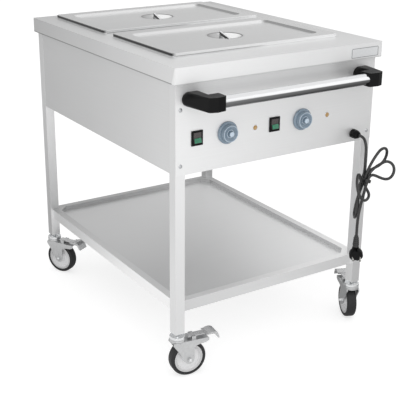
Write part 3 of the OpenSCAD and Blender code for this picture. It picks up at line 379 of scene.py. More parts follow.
def soften(width, *names):
    """Folded and moulded edges are rounded a little, so that they catch the light."""
    for name in names:
        softened = nodes[name].modifiers.new("edges", "BEVEL")
        softened.width = width
        softened.segments = 2
        softened.limit_method = "ANGLE"
        softened.angle_limit = math.radians(35)
        softened.harden_normals = True


# Scales of the grinding's grain along X, Y and Z: long one way, fine across it
along_x = (5, 1100, 1100)
along_y = (1100, 5, 1100)
along_z = (1100, 1100, 5)

leg_steel = steel("leg_steel", 0.82, (0.30, 0.38), along_z, metallic=0.85)
legs = ["leg_front_left", "leg_front_right", "leg_back_left", "leg_back_right"]
dress(leg_steel, *legs)
soften(TUBE_EDGE, *legs)
leg_high = Vector(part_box("leg_front_left")[1])
back_leg_low = Vector(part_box("leg_back_left")[0])

# ------------------------------------------------------------------ lower shelf
# One folded stainless sheet between the legs: an apron, a flat rim with painted highlights on its edges, and
# a sunk tray. Painted shade and light change the level across the tray, the rim and the upright faces; the
# rim is painted darker towards the back.

# Painted shade and light: levels from the left to the right, or from the front to the back
TRAY_SHADE_X, TRAY_SHADE_Y = (0.86, 1.10), (1.12, 0.88)
RIM_SHADE_X, RIM_SHADE_Y = (1.05, 0.85), (1.24, 0.72)
# Painted shade and light on the faces that look left or to the front: levels of the outer one and the inner
# one
LEFT_FACE_SHADE, FRONT_FACE_SHADE = (1.38, 0.72), (0.86, 0.80)
# Painted highlight along the rounded upper edges
EDGE_HIGHLIGHT_LEVEL = 1.35
RIM_SKIN = (0.0012, 0.0002)
# A normal's X or Y, from where a face looks left or to the front to where it doesn't
UPRIGHT = (-0.9, -0.5)
# A normal's Z on a rounded upper edge: its middle, and how far the painted highlight line and its fade reach
ROUNDED = (0.65, 0.28, 0.33)
SHELF_EDGE = 0.0014

shelf_low, shelf_high = (Vector(corner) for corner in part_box("lower_shelf"))


def measure(tree, kind, axis):
    """Where a point of the piece lies, or which way its face looks, along one axis."""
    source = tree.nodes.new("ShaderNodeTexCoord" if kind == "place" else "ShaderNodeNewGeometry")
    split = tree.nodes.new("ShaderNodeSeparateXYZ")
    tree.links.new(source.outputs["Object" if kind == "place" else "True Normal"], split.inputs["Vector"])
    return split.outputs[axis]


def ramp(tree, value, start, stop, before, after):
    """A factor that goes from one level to another between two values."""
    span = tree.nodes.new("ShaderNodeMapRange")
    for key, number in (("From Min", start), ("From Max", stop), ("To Min", before), ("To Max", after)):
        span.inputs[key].default_value = number
    tree.links.new(value, span.inputs["Value"])
    return span.outputs["Result"]


def shade(material, factor):
    """Scale a finish's colour by a factor."""
    tree = material.node_tree
    colour = tree.nodes["Principled BSDF"].inputs["Base Color"]
    scaled = tree.nodes.new("ShaderNodeVectorMath")
    scaled.operation = "SCALE"
    tree.links.new(colour.links[0].from_socket, scaled.inputs[0])
    tree.links.new(factor, scaled.inputs["Scale"])
    tree.links.new(scaled.outputs["Vector"], colour)


def zone(material, kind, axis, start, stop, before, after):
    """Scale a finish's colour from one level to another, by place or by the way a face looks."""
    tree = material.node_tree
    shade(material, ramp(tree, measure(tree, kind, axis), start, stop, before, after))


def line(material, kind, axis, at, inner, outer, level):
    """A line across a finish: at its level up to the inner distance, and gone past the outer."""
    tree = material.node_tree
    off = tree.nodes.new("ShaderNodeMath")
    off.operation = "SUBTRACT"
    off.inputs[1].default_value = at
    far = tree.nodes.new("ShaderNodeMath")
    far.operation = "ABSOLUTE"
    tree.links.new(measure(tree, kind, axis), off.inputs[0])
    tree.links.new(off.outputs["Value"], far.inputs[0])
    shade(material, ramp(tree, far.outputs["Value"], inner, outer, level, 1.0))


def blend_factors(tree, share, first, second):
    """A factor between two others, by a share from 0 to 1."""
    blend = tree.nodes.new("ShaderNodeMix")
    for i, given in enumerate((share, first, second)):
        if isinstance(given, float):
            blend.inputs[i + (i > 0)].default_value = given
        else:
            tree.links.new(given, blend.inputs[i + (i > 0)])
    return blend.outputs[0]


shelf_steel = steel("shelf_steel", 0.84, (0.36, 0.44), along_x, metallic=0.8)
tree = shelf_steel.node_tree
# Painted shade and light across the tray and the rim, and on the faces that look left or to the front
for axis, low, high, tray, rim, faces in (("X", shelf_low.x, shelf_high.x, TRAY_SHADE_X, RIM_SHADE_X, LEFT_FACE_SHADE),
                                          ("Y", shelf_low.y, shelf_high.y, TRAY_SHADE_Y, RIM_SHADE_Y, FRONT_FACE_SHADE)):
    zone(shelf_steel, "place", axis, low, high, *tray)
    top = (shelf_high.z - RIM_SKIN[0], shelf_high.z - RIM_SKIN[1])
    on_rim = ramp(tree, measure(tree, "place", "Z"), *top, 0.0, 1.0)
    painted_rim_shade = ramp(tree, measure(tree, "place", axis), low, high, *rim)
    shade(shelf_steel, blend_factors(tree, on_rim, 1.0, painted_rim_shade))
    upright = ramp(tree, measure(tree, "facing", axis), *UPRIGHT, 1.0, 0.0)
    painted_face_shade = ramp(tree, measure(tree, "place", axis), low, high, *faces)
    shade(shelf_steel, blend_factors(tree, upright, 1.0, painted_face_shade))
# A painted highlight along the rounded upper edges
line(shelf_steel, "facing", "Z", *ROUNDED, EDGE_HIGHLIGHT_LEVEL)
dress(shelf_steel, "lower_shelf")
soften(SHELF_EDGE, "lower_shelf")

# ------------------------------------------------------------------ body panels
# Folded stainless sheets, ground along the body: the control panel in front, a side panel at each
# side, a back panel and a slotted floor. A seam shows where each side panel meets the legs. Painted shade
# darkens the sheets towards the right, and the side panels towards the back.

SEAM_W = 0.0040
SEAM_LEVEL = 0.74
SHEET_EDGE = 0.0006
# Painted shade: levels from the left to the right, and from the front to the back
PANEL_SHADE_X, PANEL_SHADE_Y = (1.02, 0.92), (0.99, 0.88)

panel_low, panel_high = (Vector(corner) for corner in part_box("control_panel"))
panel_steel_x = steel("panel_steel_x", 0.83, (0.36, 0.44), along_x, metallic=0.6)
panel_steel_y = steel("panel_steel_y", 0.81, (0.36, 0.44), along_y, metallic=0.85)
# Painted shade: darker towards the right, and on the side panels towards the back
zone(panel_steel_x, "place", "X", panel_low.x, panel_high.x, *PANEL_SHADE_X)
zone(panel_steel_y, "place", "Y", panel_low.y, plate_high.y, *PANEL_SHADE_Y)
for at in (leg_high.y, back_leg_low.y):
    line(panel_steel_y, "place", "Y", at, SEAM_W / 4, SEAM_W / 2, SEAM_LEVEL)
dress(panel_steel_y, "left_panel", "right_panel")
dress(panel_steel_x, "back_panel", "control_panel", "body_floor")
soften(SHEET_EDGE, "control_panel", "left_panel", "right_panel", "back_panel")

# ------------------------------------------------------------------ top plate
# One stainless sheet, ground along its length, with its skirt folded down all round and hemmed
# underneath. A painted shadow line darkens the foot of the skirt, the sheet carries painted shade, and a
# painted highlight runs along its top edges. At the front corners a mitred tab is folded round onto each
# side.

SKIRT_H = 0.042
# Painted shadow line along the foot of the skirt: its height, and its level on the sides and at the front
SHADOW_LINE_H = 0.0032
SIDE_SHADOW_LINE_LEVEL = 0.42
FRONT_SHADOW_LINE_LEVEL = 0.70
# Painted shade: levels across the plate and on the faces that look to the front or left; painted highlight
# on the top edges
PLATE_SHADE_X, PLATE_SHADE_Y = (1.0, 0.95), (1.06, 0.80)
FRONT_SHADE_LEVEL, LEFT_SHADE_LEVEL, TOP_EDGE_HIGHLIGHT_LEVEL = 0.97, 0.90, 1.08
TAB_L = 0.014
TAB_CUT = 0.010
TAB_T = 0.0006
TAB_UNDER = 0.0008
# How far below the plate's top the tab's two upper corners lie
TAB_TOP, TAB_TIP = 0.002, 0.012

skirt_z = plate_high.z - SKIRT_H
plate_steel = steel("plate_steel", 0.86, (0.38, 0.46), along_x, metallic=0.75)
tree = plate_steel.node_tree
# A painted shadow line along the foot of the skirt, fainter at the front
shadow_line_at = (skirt_z + SHADOW_LINE_H / 2, skirt_z + SHADOW_LINE_H)
side_shadow_line = ramp(tree, measure(tree, "place", "Z"), *shadow_line_at, SIDE_SHADOW_LINE_LEVEL, 1.0)
front_shadow_line = ramp(tree, measure(tree, "place", "Z"), *shadow_line_at, FRONT_SHADOW_LINE_LEVEL, 1.0)
front_share = ramp(tree, measure(tree, "facing", "Y"), *UPRIGHT, 1.0, 0.0)
shade(plate_steel, blend_factors(tree, front_share, side_shadow_line, front_shadow_line))
# Painted shade by place and on the faces that look to the front or left, and a painted highlight along the
# top edges
zone(plate_steel, "place", "X", plate_low.x, plate_high.x, *PLATE_SHADE_X)
zone(plate_steel, "place", "Y", plate_low.y, plate_high.y, *PLATE_SHADE_Y)
zone(plate_steel, "facing", "Y", *UPRIGHT, FRONT_SHADE_LEVEL, 1.0)
zone(plate_steel, "facing", "X", *UPRIGHT, LEFT_SHADE_LEVEL, 1.0)
line(plate_steel, "facing", "Z", *ROUNDED, TOP_EDGE_HIGHLIGHT_LEVEL)
dress(plate_steel, "top_plate")
soften(SHEET_EDGE, "top_plate")


def closed_mesh(name, vertices, faces):
    """A closed mesh whose faces all look outwards."""
    data = bpy.data.meshes.new(name)
    data.from_pydata([tuple(vertex) for vertex in vertices], [], faces)
    data.update()
    mesh = bmesh.new()
    mesh.from_mesh(data)
    bmesh.ops.recalc_face_normals(mesh, faces=mesh.faces)
    mesh.to_mesh(data)
    mesh.free()
    return data


def slab(name, outline, thickness):
    """A flat sheet piece from its outline, a list of corners, made thick along a vector."""
    count = len(outline)
    corners = [Vector(corner) for corner in outline]
    faces = [tuple(range(count)), tuple(range(count, 2 * count))]
    for k in range(count):
        j = (k + 1) % count
        faces.append((k, j, count + j, count + k))
    return closed_mesh(name, corners + [corner + thickness for corner in corners], faces)


tab_steel = steel("tab_steel", 0.92, (0.34, 0.42), along_y, metallic=0.6)
for side, x, outward in (("left", plate_low.x, -1), ("right", plate_high.x, 1)):
    y = plate_low.y + TAB_UNDER
    corners = [(x, y, plate_high.z - TAB_TOP), (x, y, skirt_z + TAB_T), (x, y + TAB_L, skirt_z + TAB_T),
               (x, y + TAB_L - TAB_CUT, plate_high.z - TAB_TIP)]
    tab = slab(side + "_corner_tab", corners, Vector((outward * TAB_T, 0, 0)))
    add_piece(side + "_corner_tab", tab, tab_steel, "trolley", 20)

# ------------------------------------------------------------------ badge
# A thin bare plate of pale metal, stuck on the right of the front skirt. A raised grey rim is
# pressed round it.

BADGE_CORNER = 0.004
BADGE_SINK = 0.0001
# The rim's section, as inset from the plate's outline and rise off its face
BADGE_RIM = ((0.0008, 0.0), (0.0010, 0.0005), (0.0020, 0.0005), (0.0022, 0.0))

badge_face = surface("badge_face", (0.66, 0.67, 0.68), (0.74, 0.75, 0.76), (0.3, 0.4), metallic=0.2,
                     grain=(300, 300, 300), bump=0.05)
rim_grey = surface("rim_grey", (0.20, 0.205, 0.21), (0.30, 0.305, 0.31), (0.3, 0.4), metallic=0.5,
                   grain=(300, 300, 300), bump=0.05)


def ring_between(name, loops):
    """A closed band skinned over loops of equal length, joined end to end."""
    count = len(loops[0])
    faces = []
    for i in range(len(loops)):
        for k in range(count):
            j, n = (k + 1) % count, (i + 1) % len(loops)
            faces.append((i * count + k, i * count + j, n * count + j, n * count + k))
    return closed_mesh(name, [vertex for loop in loops for vertex in loop], faces)


def rounded_loop(centre, width, height, radius, y, steps=6):
    """A rectangle with rounded corners that faces the front."""
    loop = []
    for quarter, (sx, sz) in enumerate(((1, 1), (-1, 1), (-1, -1), (1, -1))):
        for k in range(steps + 1):
            a = math.radians(90 * quarter + 90 * k / steps)
            loop.append((centre.x + sx * (width / 2 - radius) + radius * math.cos(a), y,
                         centre.z + sz * (height / 2 - radius) + radius * math.sin(a)))
    return loop


badge_low, badge_high = (Vector(corner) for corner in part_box("badge_plate"))
badge_middle = (badge_low + badge_high) / 2
badge_size = badge_high - badge_low
badge_rim = ring_between("badge_rim", [
    rounded_loop(badge_middle, badge_size.x - 2 * inset, badge_size.z - 2 * inset, BADGE_CORNER - inset,
                 badge_low.y + BADGE_SINK - rise) for inset, rise in BADGE_RIM])
dress(badge_face, "badge_plate")
add_piece("badge_rim", badge_rim, rim_grey, "trolley")

# ------------------------------------------------------------------ wells, pans and the body's inside
# Two deep-drawn stainless wells hang under the plate and hold the pans. Rod heaters are strapped
# under them, thermostats sit behind the knobs, and the cord ends in a pale terminal block.

pan_steel = steel("pan_steel", 0.76, (0.20, 0.30), along_x)
heater_steel = surface("heater_steel", (0.09, 0.085, 0.08), (0.22, 0.2, 0.18), (0.4, 0.6), 0.7)
cream_plastic = surface("cream_plastic", (0.6, 0.56, 0.46), (0.7, 0.67, 0.57), (0.4, 0.55))
dress(pan_steel, "front_well", "back_well", "front_pan", "back_pan")
dress(heater_steel, "heating_elements")
dress(black_plastic, "thermostats")
dress(cream_plastic, "terminal_block")

# ------------------------------------------------------------------ lids
# Pressed stainless lids with a sunk panel and a polished finger dish, and a bar welded across the
# dish. Painted shade darkens what looks left: the pressed edges, the bar's side and the dish's left. The
# dish carries a painted reflection and painted dark rings, each lid's foot a painted shadow.

LID_SINK = 0.0055
# Painted shade on faces that look left: on the rolled edges and on the sunk panel's right wall
EDGE_SHADE = 0.04
WALL_SHADE = 0.35
# A painted shadow along each lid's foot: its height and level
FOOT_SHADOW_H = 0.0040
FOOT_SHADOW_LEVEL = 0.50
DISH_R = 0.048
DISH_LIP = 0.0012
# Painted reflection in the dish: its level at the left, in the middle and at the right
DISH_REFLECTION_LEVELS = (0.42, 0.66, 1.20)
# Painted dark rings round each dish: at its edge, and a fainter one further out
DISH_RIM_SHADE = 0.30
RIM_HALF = 0.0012
RING_R = 0.053
RING_SHADE = 0.80
# Painted shade on the bar's side that looks left
BAR_SIDE_SHADE = 0.02
# A normal's X, from where a face looks left to where it doesn't: on an edge, on a slope, on the bar
LOOKS_LEFT, SLOPES_LEFT, BAR_LEFT = (-0.9, -0.6), (-0.5, -0.1), (-0.8, -0.2)
# Painted shade: levels from the left to the right
LID_SHADE_X = (0.98, 1.12)

lid_low, lid_high = (Vector(corner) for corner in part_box("front_lid"))
lid_floor = lid_high.z - LID_SINK
lid_steel = steel("lid_steel", 0.85, (0.18, 0.25), along_x, 0.02, metallic=0.78)
tree = lid_steel.node_tree


def radius_from(tree, centre, axis):
    """How far a point of the piece lies from an axis through a centre."""
    place = tree.nodes.new("ShaderNodeTexCoord")
    off = tree.nodes.new("ShaderNodeVectorMath")
    off.operation = "SUBTRACT"
    off.inputs[1].default_value = centre
    turn = tree.nodes.new("ShaderNodeVectorMath")
    turn.operation = "CROSS_PRODUCT"
    turn.inputs[1].default_value = axis
    radius = tree.nodes.new("ShaderNodeVectorMath")
    radius.operation = "LENGTH"
    tree.links.new(place.outputs["Object"], off.inputs[0])
    tree.links.new(off.outputs["Vector"], turn.inputs[0])
    tree.links.new(turn.outputs["Vector"], radius.inputs[0])
    return radius.outputs["Value"]


def round_line(material, centre, axis, at, half, level):
    """A turned line round an axis, at a radius."""
    tree = material.node_tree
    far = tree.nodes.new("ShaderNodeMath")
    far.operation = "SUBTRACT"
    far.inputs[1].default_value = at
    size = tree.nodes.new("ShaderNodeMath")
    size.operation = "ABSOLUTE"
    tree.links.new(radius_from(tree, centre, axis), far.inputs[0])
    tree.links.new(far.outputs["Value"], size.inputs[0])
    shade(material, ramp(tree, size.outputs["Value"], half, 2 * half, level, 1.0))


# outside the dishes, painted shade: the rolled edges and the right wall of the sunk panel
edge = ramp(tree, measure(tree, "facing", "X"), *LOOKS_LEFT, EDGE_SHADE, WALL_SHADE)
wall = ramp(tree, measure(tree, "facing", "X"), *SLOPES_LEFT, 0.0, 1.0)
outside = blend_factors(tree, wall, edge, 1.0)
# inside them, a painted reflection: dark at the left, bright at the right
middle_x = (lid_low.x + lid_high.x) / 2
across = measure(tree, "place", "X")
dish_left_reflection = ramp(tree, across, middle_x - DISH_R, middle_x, DISH_REFLECTION_LEVELS[0], DISH_REFLECTION_LEVELS[1])
right_share = ramp(tree, across, middle_x, middle_x + DISH_R / 2, 0.0, 1.0)
inside = blend_factors(tree, right_share, dish_left_reflection, DISH_REFLECTION_LEVELS[2])
in_dish = ramp(tree, measure(tree, "place", "Z"), lid_floor - DISH_LIP, lid_floor - DISH_LIP / 2, 1.0, 0.0)
shade(lid_steel, blend_factors(tree, in_dish, outside, inside))
# A painted shadow along each lid's foot, and painted shade that lightens to the right
zone(lid_steel, "place", "Z", lid_low.z + FOOT_SHADOW_H / 2, lid_low.z + FOOT_SHADOW_H, FOOT_SHADOW_LEVEL, 1.0)
zone(lid_steel, "place", "X", lid_low.x, lid_high.x, *LID_SHADE_X)
# Painted dark rings round each dish
for name in ("front_lid", "back_lid"):
    low, high = (Vector(corner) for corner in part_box(name))
    round_line(lid_steel, (low + high) / 2, (0, 0, 1), DISH_R, RIM_HALF, DISH_RIM_SHADE)
    round_line(lid_steel, (low + high) / 2, (0, 0, 1), RING_R, RIM_HALF / 2, RING_SHADE)
bar_steel = surface("bar_steel", (0.80, 0.80, 0.81), (0.90, 0.90, 0.91), (0.3, 0.4), grain=along_y,
                    bump=0.02, specular=0.05)
# Painted shade on the bar's side that looks left
zone(bar_steel, "facing", "X", *BAR_LEFT, BAR_SIDE_SHADE, 1.0)
dress(lid_steel, "front_lid", "back_lid")
dress(bar_steel, "front_lid_handle", "back_lid_handle")

# ------------------------------------------------------------------ push handle
# A polished stainless tube held at each end by a moulded black bracket, which is screwed on from
# inside the panel. Painted shade darkens the lower half of the tube.

# Painted shade on the tube's lower half: its level, how far above the axis it starts, and its fade
UNDERSIDE_SHADE_LEVEL = 0.19
UNDERSIDE_SHADE_SHIFT = 0.001
UNDERSIDE_SHADE_BLEND = 0.002
BRACKET_EDGE = 0.0012

screw_steel = surface("screw_steel", (0.50, 0.51, 0.52), (0.66, 0.67, 0.68), (0.25, 0.4), 1, (400, 400, 400))
chrome = surface("chrome", (0.90, 0.91, 0.92), (0.95, 0.955, 0.96), (0.05, 0.10), 1, (40, 300, 300), 0.03)
tube_low, tube_high = (Vector(corner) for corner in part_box("handle_tube"))
tube_z = (tube_low.z + tube_high.z) / 2 + UNDERSIDE_SHADE_SHIFT
# Painted shade on the tube's lower half
zone(chrome, "place", "Z", tube_z, tube_z + UNDERSIDE_SHADE_BLEND, UNDERSIDE_SHADE_LEVEL, 1.0)
dress(chrome, "handle_tube")
dress(black_plastic, "left_bracket", "right_bracket")
dress(screw_steel, "bracket_screws")
soften(BRACKET_EDGE, "left_bracket", "right_bracket")

# ------------------------------------------------------------------ rocker switches
# A black moulded frame, clipped into the panel, and in it a smoky plastic rocker on a pin. The lower
# half of the rocker carries a raised green lens.

ROCKER_REST = math.radians(-7)
PIVOT_BEHIND_PANEL = 0.003
# Width, height and thickness
LENS = (0.0195, 0.0118, 0.0024)
LENS_ROUNDING = 0.0009
LENS_AHEAD, LENS_DOWN = 0.0068, 0.0070
FACE_SLOPE = math.atan2(0.0023, 0.0135)
SWITCH_EDGE = 0.0008

rocker_plastic = surface("rocker_plastic", (0.040, 0.034, 0.034), (0.075, 0.066, 0.066), (0.2, 0.32),
                         grain=(500, 500, 500), bump=0.1)
green_lens = surface("green_lens", (0.002, 0.11, 0.050), (0.008, 0.23, 0.115), (0.10, 0.16),
                     grain=(200, 200, 200), bump=0.05, coat=0.8)


def rounded_slab(name, width, height, depth, radius):
    """A flat block that faces the front, rounded all round."""
    outline = [(x * width / 2, 0, z * height / 2) for x, z in ((-1, -1), (1, -1), (1, 1), (-1, 1))]
    data = slab(name, outline, Vector((0, -depth, 0)))
    mesh = bmesh.new()
    mesh.from_mesh(data)
    bmesh.ops.bevel(mesh, geom=list(mesh.edges), offset=radius, segments=4, affect="EDGES", profile=0.5)
    mesh.to_mesh(data)
    mesh.free()
    return data


for side in ("left", "right"):
    low, high = (Vector(corner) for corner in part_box(side + "_rocker"))
    centre = Vector(((low.x + high.x) / 2, panel_low.y + PIVOT_BEHIND_PANEL, (low.z + high.z) / 2))
    data = rounded_slab(side + "_rocker_lens", *LENS, LENS_ROUNDING)
    for vertex in data.vertices:
        # on the lower flat of the face, then tipped with the rocker
        y = vertex.co.y - LENS_AHEAD + vertex.co.z * math.sin(FACE_SLOPE)
        z = vertex.co.z - LENS_DOWN
        vertex.co = (centre.x + vertex.co.x,
                     centre.y + y * math.cos(ROCKER_REST) - z * math.sin(ROCKER_REST),
                     centre.z + y * math.sin(ROCKER_REST) + z * math.cos(ROCKER_REST))
    add_piece(side + "_rocker_lens", data, green_lens, side + "_rocker", 60)
switches = ["left_switch_frame", "right_switch_frame"]
dress(black_plastic, *switches)
dress(rocker_plastic, "left_rocker", "right_rocker")
soften(SWITCH_EDGE, "left_rocker", "right_rocker", *switches)

# ------------------------------------------------------------------ control knobs
# Moulded in glossy grey-blue plastic, with a wide skirt, a raised grip and a boss. Pale rings lie
# on the skirt, round the grip and round the boss, and a pale domed cap closes the boss: painted highlights.

KNOB_REACH = 0.022
# Painted highlight rings: the radius of each, and how far it lies ahead of the panel
SKIRT_RING = (0.0262, 0.0046)
GRIP_RING = (0.0205, 0.0172)
BOSS_RING = (0.0098, 0.0150)
RING_WIRE, RING_FLAT = 0.0007, 0.7
RING_STEPS, WIRE_STEPS = 56, 10
CAP_R = 0.0066
CAP_RISE = 0.0016
# A cap's dome: shares of its radius and of its rise
CAP_DOME = ((1, 0.0625), (0.92, 0.5), (0.7, 0.85), (0.35, 1), (0, 1))

knob_plastic = surface("knob_plastic", (0.125, 0.185, 0.245), (0.20, 0.27, 0.34), (0.10, 0.18),
                       grain=(300, 300, 300), bump=0.05, coat=0.8)
# A pale finish for painted highlights, on the rings and the cap
knob_highlight = surface("knob_highlight", (0.42, 0.52, 0.62), (0.58, 0.68, 0.78), (0.08, 0.14),
                      grain=(300, 300, 300), bump=0.03, coat=1.0)


def front_rings(name, places, radius, wire, flatness, finish, body):
    """Like rings that face the front, made by Geometry Nodes at a list of places."""
    tree = bpy.data.node_groups.new(name + "_tree", "GeometryNodeTree")
    tree.interface.new_socket("Places", in_out="INPUT", socket_type="NodeSocketGeometry")
    sizes = {"Ring radius": radius, "Wire radius": wire, "Flatness": flatness}
    sockets = {key: tree.interface.new_socket(key, in_out="INPUT", socket_type="NodeSocketFloat")
               for key in sizes}
    tree.interface.new_socket("Rings", in_out="OUTPUT", socket_type="NodeSocketGeometry")
    given = tree.nodes.new("NodeGroupInput")
    made = tree.nodes.new("NodeGroupOutput")
    ring = tree.nodes.new("GeometryNodeCurvePrimitiveCircle")
    ring.inputs["Resolution"].default_value = RING_STEPS
    section = tree.nodes.new("GeometryNodeCurvePrimitiveCircle")
    section.inputs["Resolution"].default_value = WIRE_STEPS
    skin = tree.nodes.new("GeometryNodeCurveToMesh")
    squash = tree.nodes.new("ShaderNodeCombineXYZ")
    squash.inputs["X"].default_value = 1.0
    squash.inputs["Y"].default_value = 1.0
    stand = tree.nodes.new("GeometryNodeTransform")
    stand.inputs["Rotation"].default_value = (math.radians(90), 0, 0)
    spread = tree.nodes.new("GeometryNodeInstanceOnPoints")
    real = tree.nodes.new("GeometryNodeRealizeInstances")
    paint = tree.nodes.new("GeometryNodeSetMaterial")
    paint.inputs["Material"].default_value = finish
    link = tree.links.new
    link(given.outputs["Ring radius"], ring.inputs["Radius"])
    link(given.outputs["Wire radius"], section.inputs["Radius"])
    link(given.outputs["Flatness"], squash.inputs["Z"])
    link(ring.outputs["Curve"], skin.inputs["Curve"])
    link(section.outputs["Curve"], skin.inputs["Profile Curve"])
    link(skin.outputs["Mesh"], stand.inputs["Geometry"])
    link(squash.outputs["Vector"], stand.inputs["Scale"])
    link(given.outputs["Places"], spread.inputs["Points"])
    link(stand.outputs["Geometry"], spread.inputs["Instance"])
    link(spread.outputs["Instances"], real.inputs["Geometry"])
    link(real.outputs["Geometry"], paint.inputs["Geometry"])
    link(paint.outputs["Geometry"], made.inputs["Rings"])
    points = bpy.data.meshes.new(name + "_places")
    points.from_pydata([tuple(place) for place in places], [], [])
    holder = bpy.data.objects.new(name + "_holder", points)
    scene.collection.objects.link(holder)
    grown = holder.modifiers.new("rings", "NODES")
    grown.node_group = tree
    for key, value in sizes.items():
        grown[sockets[key].identifier] = value
    view = bpy.context.evaluated_depsgraph_get()
    data = bpy.data.meshes.new_from_object(holder.evaluated_get(view))
    data.name = name
    holder.modifiers.remove(grown)
    bpy.data.objects.remove(holder)
    return add_piece(name, data, finish, body, 60)


for side in ("left", "right"):
    low, high = (Vector(corner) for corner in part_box(side + "_knob"))
    centre = Vector(((low.x + high.x) / 2, panel_low.y, (low.z + high.z) / 2))
    # Pale rings and a pale cap on each knob: painted highlights
    for ring, (radius, ahead) in (("skirt", SKIRT_RING), ("grip", GRIP_RING), ("boss", BOSS_RING)):
        front_rings(f"{side}_knob_{ring}_ring", [centre - Vector((0, ahead, 0))], radius, RING_WIRE,
                    RING_FLAT, knob_highlight, side + "_knob")
    dome = [(0, -0.001), (CAP_R, -0.001)] + [(CAP_R * out, CAP_RISE * up) for out, up in CAP_DOME]
    cap = turned(side + "_knob_cap", dome, centre - Vector((0, KNOB_REACH, 0)), Vector((0, -1, 0)))
    add_piece(side + "_knob_cap", cap, knob_highlight, side + "_knob", 60)
dress(knob_plastic, "left_knob", "right_knob")

# ------------------------------------------------------------------ pilot lamps
# Small amber plastic lenses over neon lamps, which are pushed through holes of the control panel.
# Each is clamped by a bright plated ring.

LAMP_BACK_D = 0.015
LAMP_RING_R, LAMP_RING_WIRE = 0.0067, 0.0010
LAMP_RING_AHEAD = 0.0004

amber_lens = surface("amber_lens", (0.34, 0.19, 0.05), (0.52, 0.33, 0.13), (0.12, 0.2),
                     grain=(300, 300, 300), bump=0.05, coat=0.5)
zinc = surface("zinc", (0.80, 0.81, 0.82), (0.90, 0.91, 0.92), (0.18, 0.28), 0.9, (60, 60, 60), 0.03)
lamps_low, lamps_high = (Vector(corner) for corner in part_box("pilot_lamps"))
lamp_places = [Vector((x, panel_low.y - LAMP_RING_AHEAD, (lamps_low.z + lamps_high.z) / 2))
               for x in (lamps_low.x + LAMP_BACK_D / 2, lamps_high.x - LAMP_BACK_D / 2)]
front_rings("lamp_rings", lamp_places, LAMP_RING_R, LAMP_RING_WIRE, 1.0, zinc, "trolley")
dress(amber_lens, "pilot_lamps")

# ------------------------------------------------------------------ panel screws
# Four plated steel screws with cross heads hold the control panel to the body's corners. Each sits
# on a thin pressed washer.

SCREW_R = 0.0045
WASHER_R, WASHER_WIRE, WASHER_FLAT = 0.0048, 0.0006, 0.8

screws_low, screws_high = (Vector(corner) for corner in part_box("panel_screws"))
screw_places = [Vector((x, panel_low.y, z)) for x in (screws_low.x + SCREW_R, screws_high.x - SCREW_R)
                for z in (screws_low.z + SCREW_R, screws_high.z - SCREW_R)]
front_rings("screw_washers", screw_places, WASHER_R, WASHER_WIRE, WASHER_FLAT, screw_steel, "trolley")
dress(screw_steel, "panel_screws")

# ------------------------------------------------------------------ castors
# A plated stem plugs into each leg. On it swivels a pressed zinc-plated fork, with a moulded wheel
# on an axle bolt, a rubber tread, and a pressed brake pedal on a pin.

FORK_HALF = 0.019
NUT_T = 0.006
# Radius and height along the axle of the points of an axle cap
AXLE_CAP = ((0, -0.001), (0.0046, -0.001), (0.0046, 0), (0.00368, 0.0008), (0.00184, 0.0013), (0, 0.0014))
FORK_EDGE = 0.0008
# Radius and level of the painted shade lines on a hub's face
HUB_SHADE_LINES = ((0.0415, 0.62), (0.0370, 0.55), (0.0350, 0.80))
LINE_HALF = 0.0006

fork_zinc = surface("fork_zinc", (0.58, 0.585, 0.59), (0.70, 0.705, 0.71), (0.26, 0.38), metallic=0.8,
                    grain=(160, 160, 160), bump=0.08)
pedal_zinc = surface("pedal_zinc", (0.52, 0.523, 0.53), (0.70, 0.703, 0.71), (0.22, 0.34), metallic=0.8,
                     grain=(160, 160, 160), bump=0.08)
tread_rubber = surface("tread_rubber", (0.012, 0.012, 0.013), (0.034, 0.034, 0.036), (0.45, 0.65),
                       grain=(260, 260, 260), bump=0.35, specular=0.35)
spins = {joint["name"]: joint for joint in frame["joints"]}
dress(zinc, "castor_stems")
for corner in ("front_left", "front_right", "back_left", "back_right"):
    spin = spins[corner + "_wheel_spin"]
    centre, axle = Vector(spin["pos_m"]), Vector(spin["axis"]).normalized()
    dress(fork_zinc, corner + "_fork")
    hub_plastic = surface(corner + "_hub_plastic", (0.78, 0.78, 0.785), (0.88, 0.88, 0.885), (0.3, 0.42),
                          grain=(300, 300, 300), bump=0.12)
    # Painted shade lines on the hub's face
    for at, level in HUB_SHADE_LINES:
        round_line(hub_plastic, centre, axle, at, LINE_HALF, level)
    dress(hub_plastic, corner + "_hub")
    dress(tread_rubber, corner + "_tread")
    dress(pedal_zinc, corner + "_pedal")
    soften(FORK_EDGE, corner + "_fork", corner + "_pedal")
    for side, s in (("a", 1), ("b", -1)):
        name = f"{corner}_axle_cap_{side}"
        cap = turned(name, AXLE_CAP, centre + s * (FORK_HALF + NUT_T) * axle, s * axle, 24)
        add_piece(name, cap, zinc, corner + "_castor", 60)

# ------------------------------------------------------------------ studio
# A white room. In reflections its sky brightens upwards and to the front, and its floor is
# brightest at the front left and further out.

TO_FRONT_LEFT = (-0.766, -0.643, 0)
SKY_LEAN = (-0.07, -0.24, 0.80)
SKY_MIDDLE, SKY_MOST = 0.62, 0.85
FLOOR_HALF = 20
# Where the floor's light starts and stops to change, and its levels there: by direction, by distance
FLOOR_ROUND, FLOOR_OUT = (-0.16, 0.42, 0.42, 1.17), (0.9, 2.6, 0.72, 1.15)
FLOOR_GLOW = 0.66
AIM = (0, 0, 0.5)


def add_node(tree, kind, **values):
    """A shader node with some of its inputs set."""
    node = tree.nodes.new(kind)
    for key, value in values.items():
        node.inputs[key].default_value = value
    return node


